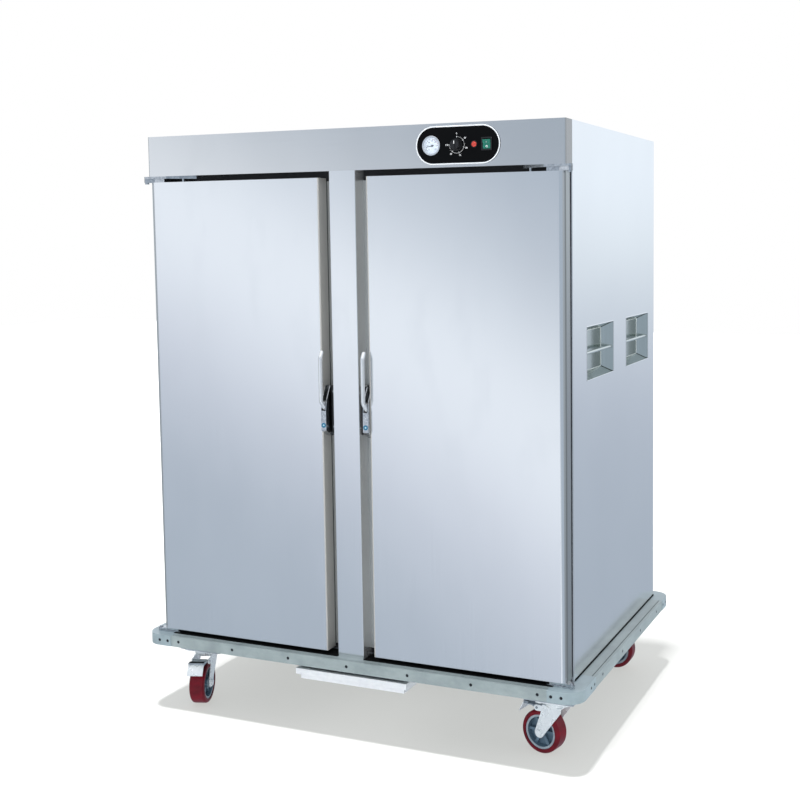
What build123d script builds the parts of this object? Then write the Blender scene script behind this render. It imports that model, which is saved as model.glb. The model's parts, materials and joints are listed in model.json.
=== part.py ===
from build123d import *
import os

os.makedirs("parts", exist_ok=True)

# Heated mobile cabinet, millimetres. +Z is up, the front faces -Y, and the origin
# lies on the floor under the middle of the bumper's outline.

# Body
height = 1800.0
body_width = 1360.0
body_depth = 850.0
door_layer = 51.0
skin = 1.2
skin_flange = 20.0
skin_corner = 2.4
wall = 40.0
rear_wall = 40.0
service_space = 160.0
floor_space = 30.0
roof_space = 30.0

# Header, mullion and doors
header_height = 121.0
header_corner = 5.0
mullion_width = 86.0
partition_width = 184.0
door_gap_top = 18.0
door_gap_bottom = 12.0
door_gap_side = 35.0
door_inset = 4.0
door_thickness = 44.0
door_sheet = 1.2
door_corner = 16.0
door_edge_radius = 2.0
gasket_width = 11.5
gasket_margin = 1.8
gasket_clearance = 0.4

# Liners and pan racks
liner_sheet = 0.8
post_thickness = 5.0
post_width = 25.0
post_inset = 70.0
post_above_ledge = 40.0
ledge_sheet = 1.5
ledge_reach = 14.0
ledge_drop = 16.0
ledge_length = 700.0
ledge_back_gap = 12.0
ledge_count = 11
top_ledge_gap = 113.4
first_ledge = 165.0

# Heaters and water pans
heater_radius = 4.25
heater_width = 360.0
heater_length = 520.0
heater_bend = 14.0
heater_lead = 40.0
heater_lead_gap = 30.0
heater_lift = 22.0
heater_box_width = 60.0
heater_box_depth = 20.0
heater_box_height = 34.0
heater_foot = 14.0
water_pan_sheet = 1.0
water_pan_side_gap = 4.2
water_pan_back_gap = 72.0
water_pan_depth = 60.0
water_pan_rim = 14.0
water_pan_front_gap = 40.0

# Push pockets in the side panels
pocket_length = 256.0
pocket_height = 153.0
pocket_depth = 35.0
pocket_taper = 18.0
pocket_sheet = 1.2
pocket_flange = 12.0
pocket_clearance = 1.2
pocket_centre_height = 1154.0
pocket_front_offset = 252.0
pocket_rear_offset = 645.0
push_bar_radius = 5.0
push_bar_inset = 8.0

# Chassis
chassis_height = 84.0
chassis_sheet = 3.0
deck_sheet = 1.5
beam_flange = 40.0
cross_tube = 40.0
cross_tube_wall = 2.0
cross_tube_spacing = 140.0
chassis_inset_side = 10.0
chassis_inset_front = 20.0
chassis_inset_rear = 10.0
caster_pad_length = 150.0
caster_pad_width = 130.0

# Bumper
bumper_front = 82.0
bumper_rear = 48.0
bumper_side = 45.0
bumper_height = 34.0
bumper_below_body = 4.0
rail_sheet = 3.0
rail_lip = 14.0
rail_flange = 22.0
rail_groove = 2.5
rail_groove_depth = 1.2
rail_groove_inset = 9.0
cap_proud = 1.5
cap_wall = 4.0
cap_radius = 50.0
cap_leg = 97.0
cap_overlap = 40.0
rail_screw_pitch = 200.0
rail_screw_margin = 25.0
cap_screw_inset = 12.0
cap_screw_pitch = 30.0
screw_head_radius = 4.5
screw_head_height = 1.7
screw_clearance = 0.15
screw_radius = 2.0
screw_recess = 0.3
screw_slot = 1.2
screw_length = 9.0

# Casters
wheel_diameter = 127.0
tyre_width = 48.0
tyre_thickness = 13.0
tyre_edge = 8.0
caster_height = 166.0
caster_trail = 42.0
caster_x = 605.0
caster_front_offset = 64.0
caster_rear_offset = 795.0
caster_turn_left = 108.0
caster_turn_right = -13.0
plate_length = 105.0
plate_width = 85.0
plate_thickness = 4.0
plate_corner = 8.0
plate_hole_x = 80.0
plate_hole_y = 60.0
bolt_radius = 4.0
bolt_clearance = 0.5
bolt_head_radius = 6.5
bolt_head_height = 4.0
crown_radius = 32.0
crown_height = 16.0
swivel_gap = 0.4
kingpin_radius = 7.0
kingpin_head = 4.0
kingpin_head_height = 5.0
leg_thickness = 3.0
leg_gap = 1.6
leg_top_width = 62.0
leg_top_height = 14.0
leg_lobe = 15.0
axle_radius = 6.0
axle_head_radius = 10.0
axle_head_height = 6.0
running_clearance = 0.05
side_play = 0.4
hub_rim = 7.0
hub_rim_width = 42.0
hub_boss_radius = 15.0
hub_web = 5.0
hub_spokes = 6
hub_spoke_width = 8.0
hub_spoke_depth = 26.0
pedal_pivot_back = 50.0
pedal_pivot_drop = 9.6
pedal_pin_radius = 4.0
pedal_pin_end = 1.0
pedal_lug = 9.0
pedal_boss = 6.0
pedal_tip_back = 98.0
pedal_rise = 5.0
pedal_sheet = 3.0
pedal_play = 0.6
pedal_pad_length = 16.0
pedal_pad_height = 5.0
pedal_shoe_back = 20.0
pedal_shoe_length = 12.0
pedal_shoe_width = 24.0
pedal_shoe_drop = 7.0

# Hinges
pivot_outset = 10.0
pivot_behind_face = 5.0
hinge_pin_radius = 4.0
hinge_lug_radius = 8.0
hinge_plate_top = 7.0
hinge_plate_bottom = 4.6
hinge_gap = 0.3
hinge_plate_front = 73.0
hinge_plate_back = 150.0
hinge_plate_low = 90.0
hinge_front_inset = 1.0
hinge_leaf_length = 66.0
hinge_leaf_depth = 34.0
hinge_leaf_inset = 3.0
hinge_head_radius = 6.5
hinge_head_height = 4.5
hinge_stud_radius = 4.0
hinge_stud_place = 120.0
hinge_stud_gap = 1.0

# Door latches
latch_pivot_height = 1003.0
latch_pivot_behind = 4.0
latch_width = 17.0
latch_cheek = 2.0
latch_front = 12.0
latch_depth = 32.0
latch_top = 51.0
latch_shoulder = 12.0
latch_shoulder_back = 6.0
latch_top_length = 17.0
latch_mouth = 20.0
latch_bottom = 98.0
latch_bottom_length = 13.0
latch_chin = 20.0
lever_width = 10.0
latch_pin_radius = 4.0
lever_lug_radius = 8.0
heel_radius = 6.0
heel_drop = 70.0
heel_behind = 8.0
arm_radius = 5.0
arm_behind_grip = 12.0
grip_radius = 6.0
grip_standoff = 24.0
grip_top = 152.0
grip_bend = 16.0
grip_elbow = 8.0
grip_top_return = 9.0
grip_root_drop = 15.0
grip_root_behind = 21.0
keeper_thickness = 13.0
keeper_depth = 38.0
keeper_top = 52.0
keeper_bottom = 88.0
strike_width = 20.0
strike_height = 48.0
strike_thickness = 3.8
strike_centre_drop = 60.0

# Control panel on the header
control_x = 366.0
control_drop = 60.5
control_plate_width = 254.0
control_plate_height = 106.0
control_plate_thickness = 2.0
panel_hole_clearance = 0.3
dial_offset = -79.0
dial_radius = 27.0
dial_body_radius = 24.5
dial_flange = 2.6
dial_depth = 18.0
dial_well_radius = 22.5
dial_well_depth = 8.0
dial_lens = 1.3
dial_lens_set_back = 0.5
dial_stub_radius = 1.2
dial_stub_length = 4.5
needle_length = 19.0
needle_tail = 5.0
needle_width = 2.4
needle_tip = 0.6
needle_sheet = 0.8
needle_hub_radius = 3.0
needle_hub_height = 2.0
needle_lift = 1.0
needle_angle = 192.0
knob_offset = -2.0
knob_radius = 17.0
knob_grip_radius = 13.0
knob_skirt = 4.0
knob_height = 17.0
knob_gap = 0.6
knob_bore_depth = 12.0
knob_rib = 4.0
thermostat_body = 44.0
thermostat_depth = 30.0
shaft_radius = 3.0
lamp_offset = 50.0
lamp_radius = 7.5
lamp_height = 4.0
lamp_edge = 3.2
lamp_body_radius = 6.0
lamp_depth = 20.0
switch_offset = 87.5
switch_width = 31.0
switch_height = 36.0
switch_bezel = 2.4
switch_bezel_overlap = 2.0
switch_wall = 1.6
switch_depth = 20.0
rocker_play = 0.4
rocker_pin_radius = 1.5
rocker_pin_reach = 1.2
rocker_pivot_depth = 2.0
rocker_half = 12.6
rocker_front = 5.4
rocker_dish = 2.8
rocker_back = 6.3
rocker_tilt = 10.0

# Drip tray
tray_width = 372.0
tray_length = 390.0
tray_height = 33.0
tray_top = 194.0
tray_front = 60.0
tray_sheet = 1.2
tray_rim = 12.0
tray_face_height = 17.0
tray_face_gap = 8.0
tray_notch_clearance = 4.0
tray_head_clearance = 6.0
runner_sheet = 2.0
runner_flange = 12.0
runner_clearance = 0.3
runner_stop_gap = 2.0

# Power inlet on the back
inlet_x = -520.0
inlet_above_deck = 90.0
inlet_width = 50.0
inlet_height = 62.0
inlet_bezel = 3.0
inlet_bezel_overlap = 3.0
inlet_depth = 26.0
inlet_recess = 18.0
inlet_recess_width = 28.0
inlet_recess_height = 22.0
inlet_pin_radius = 2.0
inlet_pin_spacing = 14.0
inlet_pin_offset = 4.0

# Places that follow from the sizes above
overall_depth = body_depth + bumper_front + bumper_rear
x_body = body_width / 2
x_bumper = x_body + bumper_side
y_bumper_front = -overall_depth / 2
y_bumper_rear = overall_depth / 2
y_body = y_bumper_front + bumper_front
y_back = y_body + body_depth
y_face = y_body - door_layer
z_base = caster_height + chassis_height
z_bumper_top = z_base - bumper_below_body
z_bumper = z_bumper_top - bumper_height
z_header = height - header_height
z_door_top = z_header - door_gap_top
z_door = z_bumper_top + door_gap_bottom
z_skin_top = height - skin
x_mullion = mullion_width / 2
x_free = x_mullion + door_gap_side
x_outer = x_body - door_inset
y_door_back = y_face + door_thickness
x_liner_in = partition_width / 2
x_liner_out = x_body - wall
y_liner = y_body + skin
y_liner_back = y_back - rear_wall
z_liner = z_base + floor_space
z_liner_top = height - service_space
x_bay_in = x_liner_in + liner_sheet
x_bay_out = x_liner_out - liner_sheet
y_bay_back = y_liner_back - liner_sheet
z_bay = z_liner + liner_sheet
z_bay_top = z_liner_top - liner_sheet
x_bay = (x_bay_in + x_bay_out) / 2
y_back_panel = y_back - skin - skin
x_pivot = x_body + pivot_outset
y_pivot = y_face + pivot_behind_face
x_chassis = x_body - chassis_inset_side
y_chassis = y_body + chassis_inset_front
y_chassis_back = y_back - chassis_inset_rear
pocket_places = [y_body + pocket_front_offset, y_body + pocket_rear_offset]
y_caster_front = y_body + caster_front_offset
y_caster_rear = y_body + caster_rear_offset

# Each caster's place, and how far it has swivelled from trailing towards -X
caster_places = {
    "front_left": (-caster_x, y_caster_front, caster_turn_left),
    "front_right": (caster_x, y_caster_front, caster_turn_right),
    "rear_left": (-caster_x, y_caster_rear, 0),
    "rear_right": (caster_x, y_caster_rear, 0),
}

nodes = {}


# Helpers
def span(x0, x1, y0, y1, z0, z1):
    """A box between two corners."""
    centre = ((x0 + x1) / 2, (y0 + y1) / 2, (z0 + z1) / 2)
    return Pos(*centre) * Box(abs(x1 - x0), abs(y1 - y0), abs(z1 - z0))


def block(x, y, z, width, depth, tall):
    """A box about its centre."""
    return Pos(x, y, z) * Box(width, depth, tall)


def rod_x(x0, x1, y, z, radius):
    """A cylinder along X."""
    return Pos((x0 + x1) / 2, y, z) * Rot(0, 90, 0) * Cylinder(radius, abs(x1 - x0))


def rod_y(x, y0, y1, z, radius):
    """A cylinder along Y."""
    return Pos(x, (y0 + y1) / 2, z) * Rot(90, 0, 0) * Cylinder(radius, abs(y1 - y0))


def rod_z(x, y, z0, z1, radius):
    """A cylinder along Z."""
    return Pos(x, y, (z0 + z1) / 2) * Cylinder(radius, abs(z1 - z0))


def hexagon_z(x, y, z0, z1, radius):
    """A hexagonal nut or bolt head along Z."""
    return Pos(x, y, z0) * extrude(RegularPolygon(radius, 6), z1 - z0)


def outline(points):
    """A flat face inside straight edges."""
    return make_face(Polyline(*points, close=True))


def plate_z(points, z0, z1):
    """A flat plate whose outline is given in X and Y."""
    return Pos(0, 0, z0) * extrude(outline(points), z1 - z0)


def profile_x(face, x0, x1):
    """A flat sketch, drawn in Y and Z, made solid from x0 to x1."""
    plane = Plane(origin=(x0, 0, 0), x_dir=(0, 1, 0), z_dir=(1, 0, 0))
    return extrude(plane * face, x1 - x0)


def profile_y(face, y0, y1):
    """A flat sketch, drawn in X and Z, made solid from y0 to y1."""
    plane = Plane(origin=(0, y1, 0), x_dir=(1, 0, 0), z_dir=(0, -1, 0))
    return extrude(plane * face, y1 - y0)


def link(*circles):
    """The smooth outline round several circles, each given as x, y and radius."""
    discs = [Pos(x, y) * Circle(r) for x, y, r in circles]
    return make_hull([edge for disc in discs for edge in disc.edges()])


def tapered_box(x_mouth, x_floor, yc, zc, length, tall, inset):
    """A box that narrows evenly along X, from its mouth to its floor."""
    mouth = Plane(origin=(x_mouth, yc, zc), x_dir=(0, 1, 0), z_dir=(1, 0, 0))
    floor = Plane(origin=(x_floor, yc, zc), x_dir=(0, 1, 0), z_dir=(1, 0, 0))
    near = mouth * Rectangle(length, tall)
    far = floor * Rectangle(length - 2 * inset, tall - 2 * inset)
    return loft([near, far])


def flip(shape):
    """The same piece on the other side of the cabinet."""
    return mirror(shape, about=Plane.YZ)


def both(shapes):
    """Pieces of the right side and their mirror images."""
    return list(shapes) + [flip(shape) for shape in shapes]


def keep(name, shapes):
    """Stores the solids of one node."""
    found = []
    for shape in shapes if isinstance(shapes, (list, tuple)) else [shapes]:
        found += shape.solids()
    nodes[name] = found


# Outer skin and front frame
def side_panel():
    plate = span(x_body - skin, x_body, y_body, y_back, z_base, z_skin_top)
    front = span(x_body - skin_flange, x_body, y_body, y_body + skin, z_base, z_skin_top)
    rear = span(x_body - skin_flange, x_body, y_back - skin, y_back, z_base, z_skin_top)
    panel = plate + front + rear
    outer = [e for e in panel.edges().filter_by(Axis.Z) if e.center().X > x_body - skin / 2]
    panel = fillet(outer, min(skin_corner, 2 * skin))
    for yc in pocket_places:
        panel -= block(x_body, yc, pocket_centre_height, 4 * skin, pocket_length, pocket_height)
    return panel


def front_frame():
    """Strips welded round the two openings, in one plane."""
    y0, y1 = y_body, y_liner
    edge = x_body - skin_flange
    strips = [
        span(-edge, edge, y0, y1, z_base, z_bay),
        span(-edge, edge, y0, y1, z_bay_top, z_skin_top),
        span(-x_bay_in, x_bay_in, y0, y1, z_bay, z_bay_top),
    ]
    return strips + both([span(x_bay_out, edge, y0, y1, z_bay, z_bay_top)])


def back_panel():
    edge = x_body - skin
    panel = span(-edge, edge, y_back_panel, y_back_panel + skin, z_base, z_skin_top)
    hole_width = inlet_width - 2 * inlet_bezel_overlap
    hole_height = inlet_height - 2 * inlet_bezel_overlap
    z = z_base + inlet_above_deck
    return panel - block(inlet_x, y_back, z, hole_width, 8 * skin, hole_height)


keep("side_panel_right", side_panel())
keep("side_panel_left", flip(side_panel()))
keep("front_frame", front_frame())
keep("back_panel", back_panel())
keep("top_panel", span(-x_body, x_body, y_body, y_back, z_skin_top, height))


# Push pockets
def pocket_space(yc):
    """The hollow of one pocket, from its mouth to its floor."""
    mouth, floor = x_body - skin, x_body - pocket_depth
    zc = pocket_centre_height
    return tapered_box(mouth, floor, yc, zc, pocket_length, pocket_height, pocket_taper)


def pocket_pan(yc):
    """A tapered pan with a flange that lies behind the side panel."""
    t = pocket_sheet
    mouth, floor = x_body - skin, x_body - pocket_depth - t
    zc = pocket_centre_height
    shell_length, shell_height = pocket_length + 2 * t, pocket_height + 2 * t
    shell = tapered_box(mouth, floor, yc, zc, shell_length, shell_height, pocket_taper)
    flange_length = pocket_length + 2 * pocket_flange
    flange_height = pocket_height + 2 * pocket_flange
    flange = block(mouth - t / 2, yc, zc, t, flange_length, flange_height)
    return (shell + flange) - pocket_space(yc)


def push_bar(yc):
    """A round bar across the pocket that ends on its sloped walls."""
    half = pocket_length / 2
    x, z = x_body - push_bar_inset, pocket_centre_height
    return rod_y(x, yc - half, yc + half, z, push_bar_radius) & pocket_space(yc)


pockets = [pocket_pan(yc) for yc in pocket_places]
push_bars = [push_bar(yc) for yc in pocket_places]
keep("push_pockets", both(pockets + push_bars))

# Header and mullion
y_panel = y_face - control_plate_thickness
z_control = height - control_drop
x_dial = control_x + dial_offset
x_knob = control_x + knob_offset
x_lamp = control_x + lamp_offset
x_switch = control_x + switch_offset
switch_hole_width = switch_width - 2 * switch_bezel_overlap
switch_hole_height = switch_height - 2 * switch_bezel_overlap


def control_holes(y0, y1):
    """What passes through the header's face and the control plate."""
    z, gap = z_control, panel_hole_clearance
    holes = rod_y(x_dial, y0, y1, z, dial_body_radius + gap)
    holes += rod_y(x_knob, y0, y1, z, shaft_radius + gap)
    holes += rod_y(x_lamp, y0, y1, z, lamp_body_radius + gap)
    y_mid = (y0 + y1) / 2
    return holes + block(x_switch, y_mid, z, switch_hole_width, y1 - y0, switch_hole_height)


def rounded_front(x0, x1, y0, y1, z0, z1, radius):
    """A box whose two front upright edges are rounded."""
    body = span(x0, x1, y0, y1, z0, z1)
    front = [e for e in body.edges().filter_by(Axis.Z) if e.center().Y < (y0 + y1) / 2]
    return fillet(front, radius)


def header():
    t, r = skin, header_corner
    x0, x1, y0 = -x_body + t, x_body - t, y_face + t
    shell = rounded_front(-x_body, x_body, y_face, y_body, z_header, height, r)
    shell -= rounded_front(x0, x1, y0, y_body + t, z_header + t, height - t, r - t)
    return shell - control_holes(y_face - t, y_face + 2 * t)


def center_mullion():
    t, x = skin, x_mullion
    shell = rounded_front(-x, x, y_face, y_body, z_bumper_top, z_header, door_edge_radius)
    return shell - span(-x + t, x - t, y_face + t, y_body + t, z_bumper_top - t, z_header + t)


keep("header", header())
keep("center_mullion", center_mullion())


# Liners, insulation and pan racks
def liner():
    """Five flat panels, joined at their edges, that line one compartment."""
    y0, y1 = y_liner, y_liner_back
    return [
        span(x_liner_in, x_bay_in, y0, y1, z_liner, z_liner_top),
        span(x_bay_out, x_liner_out, y0, y1, z_liner, z_liner_top),
        span(x_bay_in, x_bay_out, y0, y1, z_liner, z_bay),
        span(x_bay_in, x_bay_out, y0, y1, z_bay_top, z_liner_top),
        span(x_bay_in, x_bay_out, y_bay_back, y1, z_bay, z_bay_top),
    ]


def insulation():
    """Boards between the liners and the outer skin, cut round the pockets."""
    edge = x_body - skin
    side = span(x_liner_out, edge, y_liner, y_back_panel, z_liner, z_liner_top)
    cut_depth = pocket_depth + 2 * (pocket_sheet + pocket_clearance)
    cut_length = pocket_length + 2 * (pocket_flange + pocket_clearance)
    cut_height = pocket_height + 2 * (pocket_flange + pocket_clearance)
    x_cut = x_body - pocket_depth / 2
    for yc in pocket_places:
        side -= block(x_cut, yc, pocket_centre_height, cut_depth, cut_length, cut_height)
    inner = span(x_liner_in - wall, x_liner_in, y_liner, y_liner_back, z_liner, z_liner_top)
    rear = span(-x_liner_out, x_liner_out, y_liner_back, y_back_panel, z_liner, z_liner_top)
    z_inlet = z_base + inlet_above_deck
    cut_depth = 2 * (inlet_depth + pocket_clearance)
    rear -= block(inlet_x, y_back_panel, z_inlet, inlet_width, cut_depth, inlet_height)
    floor = span(-edge, edge, y_liner, y_back_panel, z_base, z_liner)
    roof = span(-edge, edge, y_liner, y_back_panel, z_liner_top, z_liner_top + roof_space)
    return both([side, inner]) + [rear, floor, roof]


y_ledge = y_bay_back - ledge_back_gap - ledge_length
z_first_ledge = z_bay + first_ledge
z_last_ledge = z_bay_top - top_ledge_gap
ledge_pitch = (z_last_ledge - z_first_ledge) / (ledge_count - 1)


def rack_posts():
    found = []
    top = z_last_ledge + post_above_ledge
    for y in (y_ledge + post_inset, y_ledge + ledge_length - post_inset):
        y0, y1 = y - post_width / 2, y + post_width / 2
        found.append(span(x_bay_in, x_bay_in + post_thickness, y0, y1, z_bay, top))
        found.append(span(x_bay_out - post_thickness, x_bay_out, y0, y1, z_bay, top))
    return found


def rack_ledges():
    found = []
    y0, y1 = y_ledge, y_ledge + ledge_length
    for level in range(ledge_count):
        z = z_first_ledge + level * ledge_pitch
        for x, way in ((x_bay_in + post_thickness, 1), (x_bay_out - post_thickness, -1)):
            web = span(x, x + way * ledge_sheet, y0, y1, z - ledge_drop, z)
            shelf = span(x, x + way * ledge_reach, y0, y1, z - ledge_sheet, z)
            found.append(web + shelf)
    return found


keep("liners", both(liner()))
keep("insulation", insulation())
keep("rack_posts", both(rack_posts()))
keep("rack_ledges", both(rack_ledges()))

# Heaters and water pans
z_heater = z_bay + heater_lift
y_heater_box = y_bay_back - heater_box_depth


def heater():
    """A bent tube whose two ends enter a terminal box."""
    half, lead = heater_width / 2, heater_lead_gap / 2
    y_turn = y_heater_box - heater_lead
    y_far = y_heater_box - heater_length
    path = FilletPolyline(
        (x_bay - lead, y_heater_box, z_heater),
        (x_bay - lead, y_turn, z_heater),
        (x_bay - half, y_turn, z_heater),
        (x_bay - half, y_far, z_heater),
        (x_bay + half, y_far, z_heater),
        (x_bay + half, y_turn, z_heater),
        (x_bay + lead, y_turn, z_heater),
        (x_bay + lead, y_heater_box, z_heater),
        radius=heater_bend,
    )
    return sweep(Plane(origin=path @ 0, z_dir=path % 0) * Circle(heater_radius), path=path)


def heater_mounts():
    """The terminal box and the two feet under the tube."""
    wide = heater_box_width / 2
    top = z_bay + heater_box_height
    found = [span(x_bay - wide, x_bay + wide, y_heater_box, y_bay_back, z_bay, top)]
    y = y_heater_box - heater_length / 2
    tall = heater_lift - heater_radius
    for side in (-1, 1):
        x = x_bay + side * heater_width / 2
        found.append(block(x, y, z_bay + tall / 2, heater_foot, heater_foot, tall))
    return found


def water_pan():
    """A shallow pan that hangs by its rim on the lowest pair of ledges."""
    t, rim = water_pan_sheet, water_pan_rim
    y0 = y_ledge + water_pan_front_gap
    y1 = y_bay_back - water_pan_back_gap
    beside = post_thickness + ledge_reach + water_pan_side_gap
    x0, x1 = x_bay_in + beside, x_bay_out - beside
    z = z_first_ledge
    pan = span(x0, x1, y0, y1, z - water_pan_depth, z)
    pan += span(x0 - rim, x1 + rim, y0 - rim, y1 + rim, z, z + t)
    return pan - span(x0 + t, x1 - t, y0 + t, y1 - t, z - water_pan_depth + t, z + 2 * t)


keep("heating_elements", both([heater()] + heater_mounts()))
keep("water_pans", both([water_pan()]))

# Chassis
tray_notch = tray_width / 2 + runner_clearance + runner_sheet + tray_notch_clearance
z_pad = caster_height + chassis_sheet
z_deck = z_base - deck_sheet
z_beam_flange = z_deck - chassis_sheet
bolt_places = [
    (x, y)
    for x in (-plate_hole_x / 2, plate_hole_x / 2)
    for y in (-plate_hole_y / 2, plate_hole_y / 2)
]


def front_beams():
    """A middle angle above the drip tray, and the angle beside it."""
    t, y0 = chassis_sheet, y_chassis
    z0, z1 = z_beam_flange, z_deck
    z_notch = tray_top + tray_head_clearance
    middle = span(-tray_notch, tray_notch, y0, y0 + t, z_notch, z1)
    middle += span(-tray_notch, tray_notch, y0, y0 + beam_flange, z0, z1)
    side = span(tray_notch, x_chassis, y0, y0 + t, z_pad, z1)
    side += span(tray_notch, x_chassis, y0, y0 + beam_flange, z0, z1)
    return middle, side


def rear_beam():
    t, x, y1 = chassis_sheet, x_chassis, y_chassis_back
    beam = span(-x, x, y1 - t, y1, z_pad, z_deck)
    return beam + span(-x, x, y1 - beam_flange, y1, z_beam_flange, z_deck)


def side_beam():
    t, x = chassis_sheet, x_chassis
    y0, y1 = y_chassis, y_chassis_back
    beam = span(x - t, x, y0 + t, y1 - t, z_pad, z_beam_flange)
    y0, y1 = y0 + beam_flange, y1 - beam_flange
    return beam + span(x - beam_flange, x, y0, y1, z_beam_flange, z_deck)


def caster_pad(y_edge, way, y_caster):
    """The pad that a caster is bolted to, and the rib that closes its inner side."""
    t = chassis_sheet
    x0, x1 = x_chassis - caster_pad_length, x_chassis
    y_end = y_edge + way * caster_pad_width
    pad = span(x0, x1, y_edge, y_end, caster_height, z_pad)
    for x, y in bolt_places:
        place = (caster_x + x, y_caster + y)
        pad -= rod_z(*place, caster_height - t, z_pad + t, bolt_radius + bolt_clearance)
    return [pad, span(x0, x0 + t, y_edge + way * t, y_end, z_pad, z_beam_flange)]


def cross_tubes():
    y_mid = (y_chassis + y_chassis_back) / 2
    z = z_beam_flange - cross_tube / 2
    half = x_chassis - chassis_sheet
    bore = cross_tube - 2 * cross_tube_wall
    found = []
    for y in (y_mid - cross_tube_spacing / 2, y_mid + cross_tube_spacing / 2):
        tube = block(0, y, z, 2 * half, cross_tube, cross_tube)
        found.append(tube - block(0, y, z, 2 * x_chassis, bore, bore))
    return found


middle_beam, beam_beside_tray = front_beams()
deck = span(-x_body, x_body, y_body, y_back, z_deck, z_base)
pads = caster_pad(y_chassis, 1, y_caster_front) + caster_pad(y_chassis_back, -1, y_caster_rear)
frame_pieces = [deck, middle_beam, rear_beam()] + cross_tubes()
keep("chassis", frame_pieces + both([beam_beside_tray, side_beam()] + pads))

# Bumper rails, corner caps and screws
z_screw = (z_bumper + z_bumper_top) / 2
x_rail_end = x_bumper - cap_leg
y_rail_front = y_chassis + cap_overlap
y_rail_rear = y_chassis_back - cap_overlap
screws = []


def rail_bar(reach, length):
    """A rail along Y, its chassis side at X = 0 and its outer face at X = reach."""
    z0, z1, t = z_bumper, z_bumper_top, rail_sheet
    section = outline(
        [
            (0, z1),
            (reach, z1),
            (reach, z0),
            (reach - rail_lip, z0),
            (reach - rail_lip, z0 + t),
            (reach - t, z0 + t),
            (reach - t, z1 - t),
            (t, z1 - t),
            (t, z1 - rail_flange),
            (0, z1 - rail_flange),
        ]
    )
    bar = profile_y(section, -length / 2, length / 2)
    groove = reach - rail_groove_inset
    floor = z1 - rail_groove_depth
    return bar - span(groove - rail_groove, groove, -length, length, floor, z1 + 1)


def screw_hole(depth):
    """A stepped hole along X whose mouth is at X = 0."""
    floor = screw_recess + screw_head_height
    wide = rod_x(-floor, 1, 0, 0, screw_head_radius + screw_clearance)
    return wide + rod_x(-depth, 1, 0, 0, screw_radius + screw_clearance)


def screw():
    """A cross-slotted screw along X, its head just under a face at X = 0."""
    top = -screw_recess
    head = rod_x(top - screw_head_height, top, 0, 0, screw_head_radius)
    shank = rod_x(top - screw_length, top - screw_head_height, 0, 0, screw_radius)
    reach = 2 * (screw_head_radius - screw_slot)
    cross = block(top, 0, 0, screw_slot, screw_slot, reach)
    cross += block(top, 0, 0, screw_slot, reach, screw_slot)
    return (head + shank) - cross


def bumper_rail(turn, reach, length, place):
    """One rail, turned and placed, with its row of screws."""
    bar = rail_bar(reach, length)
    where = Pos(*place, 0) * Rot(0, 0, turn)
    gaps = int((length - 2 * rail_screw_margin) // rail_screw_pitch)
    for k in range(gaps + 1):
        spot = Pos(reach, (k - gaps / 2) * rail_screw_pitch, z_screw)
        bar -= spot * screw_hole(rail_sheet + 1)
        screws.append(where * spot * screw())
    return where * bar


def bumper_corner(y_outer, y_inner):
    """A rounded cap at +X that closes the corner between two rails."""
    way = 1 if y_outer > y_inner else -1
    y_end = y_inner - way * cap_overlap
    x_arc, y_arc = x_bumper - cap_radius, y_outer - way * cap_radius

    def shape(edge):
        bend = CenterArc((x_arc, y_arc), cap_radius - edge, 0 if way > 0 else 270, 90)
        rest = Polyline(
            (x_bumper - edge, y_arc),
            (x_bumper - edge, y_end),
            (x_chassis, y_end),
            (x_chassis, y_inner),
            (x_rail_end, y_inner),
            (x_rail_end, y_outer - way * edge),
            (x_arc, y_outer - way * edge),
        )
        return make_face([bend, rest])

    cap = Pos(0, 0, z_bumper) * extrude(shape(0), bumper_height)
    cap -= Pos(0, 0, z_bumper - cap_wall) * extrude(shape(cap_wall), bumper_height)
    for inset in (cap_screw_inset, cap_screw_inset + cap_screw_pitch):
        cross_spot = Pos(x_rail_end + inset, y_outer, z_screw) * Rot(0, 0, 90 * way)
        side_spot = Pos(x_bumper, y_end + way * inset, z_screw)
        for spot in (cross_spot, side_spot):
            cap -= spot * screw_hole(cap_wall + 1)
            screws.extend(both([spot * screw()]))
    return cap


side_reach = x_bumper - cap_proud - x_chassis
front_reach = y_chassis - y_bumper_front - cap_proud
rear_reach = y_bumper_rear - cap_proud - y_chassis_back
side_length = y_rail_rear - y_rail_front
cross_length = 2 * x_rail_end
y_side = (y_rail_front + y_rail_rear) / 2
rails = [
    bumper_rail(0, side_reach, side_length, (x_chassis, y_side)),
    bumper_rail(180, side_reach, side_length, (-x_chassis, y_side)),
    bumper_rail(270, front_reach, cross_length, (0, y_chassis)),
    bumper_rail(90, rear_reach, cross_length, (0, y_chassis_back)),
]
caps = [bumper_corner(y_bumper_front, y_chassis), bumper_corner(y_bumper_rear, y_chassis_back)]
keep("bumper_rails", rails)
keep("bumper_corners", both(caps))
keep("bumper_screws", screws)

# Casters. Each is drawn with its swivel axis at X = Y = 0 and trails towards -X.
z_axle = wheel_diameter / 2
z_plate = caster_height - plate_thickness
z_crown_top = z_plate - swivel_gap
z_crown = z_crown_top - crown_height
y_leg = tyre_width / 2 + leg_gap
y_leg_out = y_leg + leg_thickness
z_pedal = z_crown - pedal_pivot_drop
hub_radius = wheel_diameter / 2 - tyre_thickness


def caster_plate():
    """A top plate with the riveted pin that carries the fork."""
    z = z_plate + plate_thickness / 2
    plate = block(0, 0, z, plate_length, plate_width, plate_thickness)
    plate = fillet(plate.edges().filter_by(Axis.Z), plate_corner)
    for x, y in bolt_places:
        plate -= rod_z(x, y, z_plate - 1, caster_height + 1, bolt_radius + bolt_clearance)
    z_head = z_crown - swivel_gap
    pin = rod_z(0, 0, z_head, caster_height, kingpin_radius)
    head = rod_z(0, 0, z_head - kingpin_head_height, z_head, kingpin_radius + kingpin_head)
    return plate + pin + head


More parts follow.
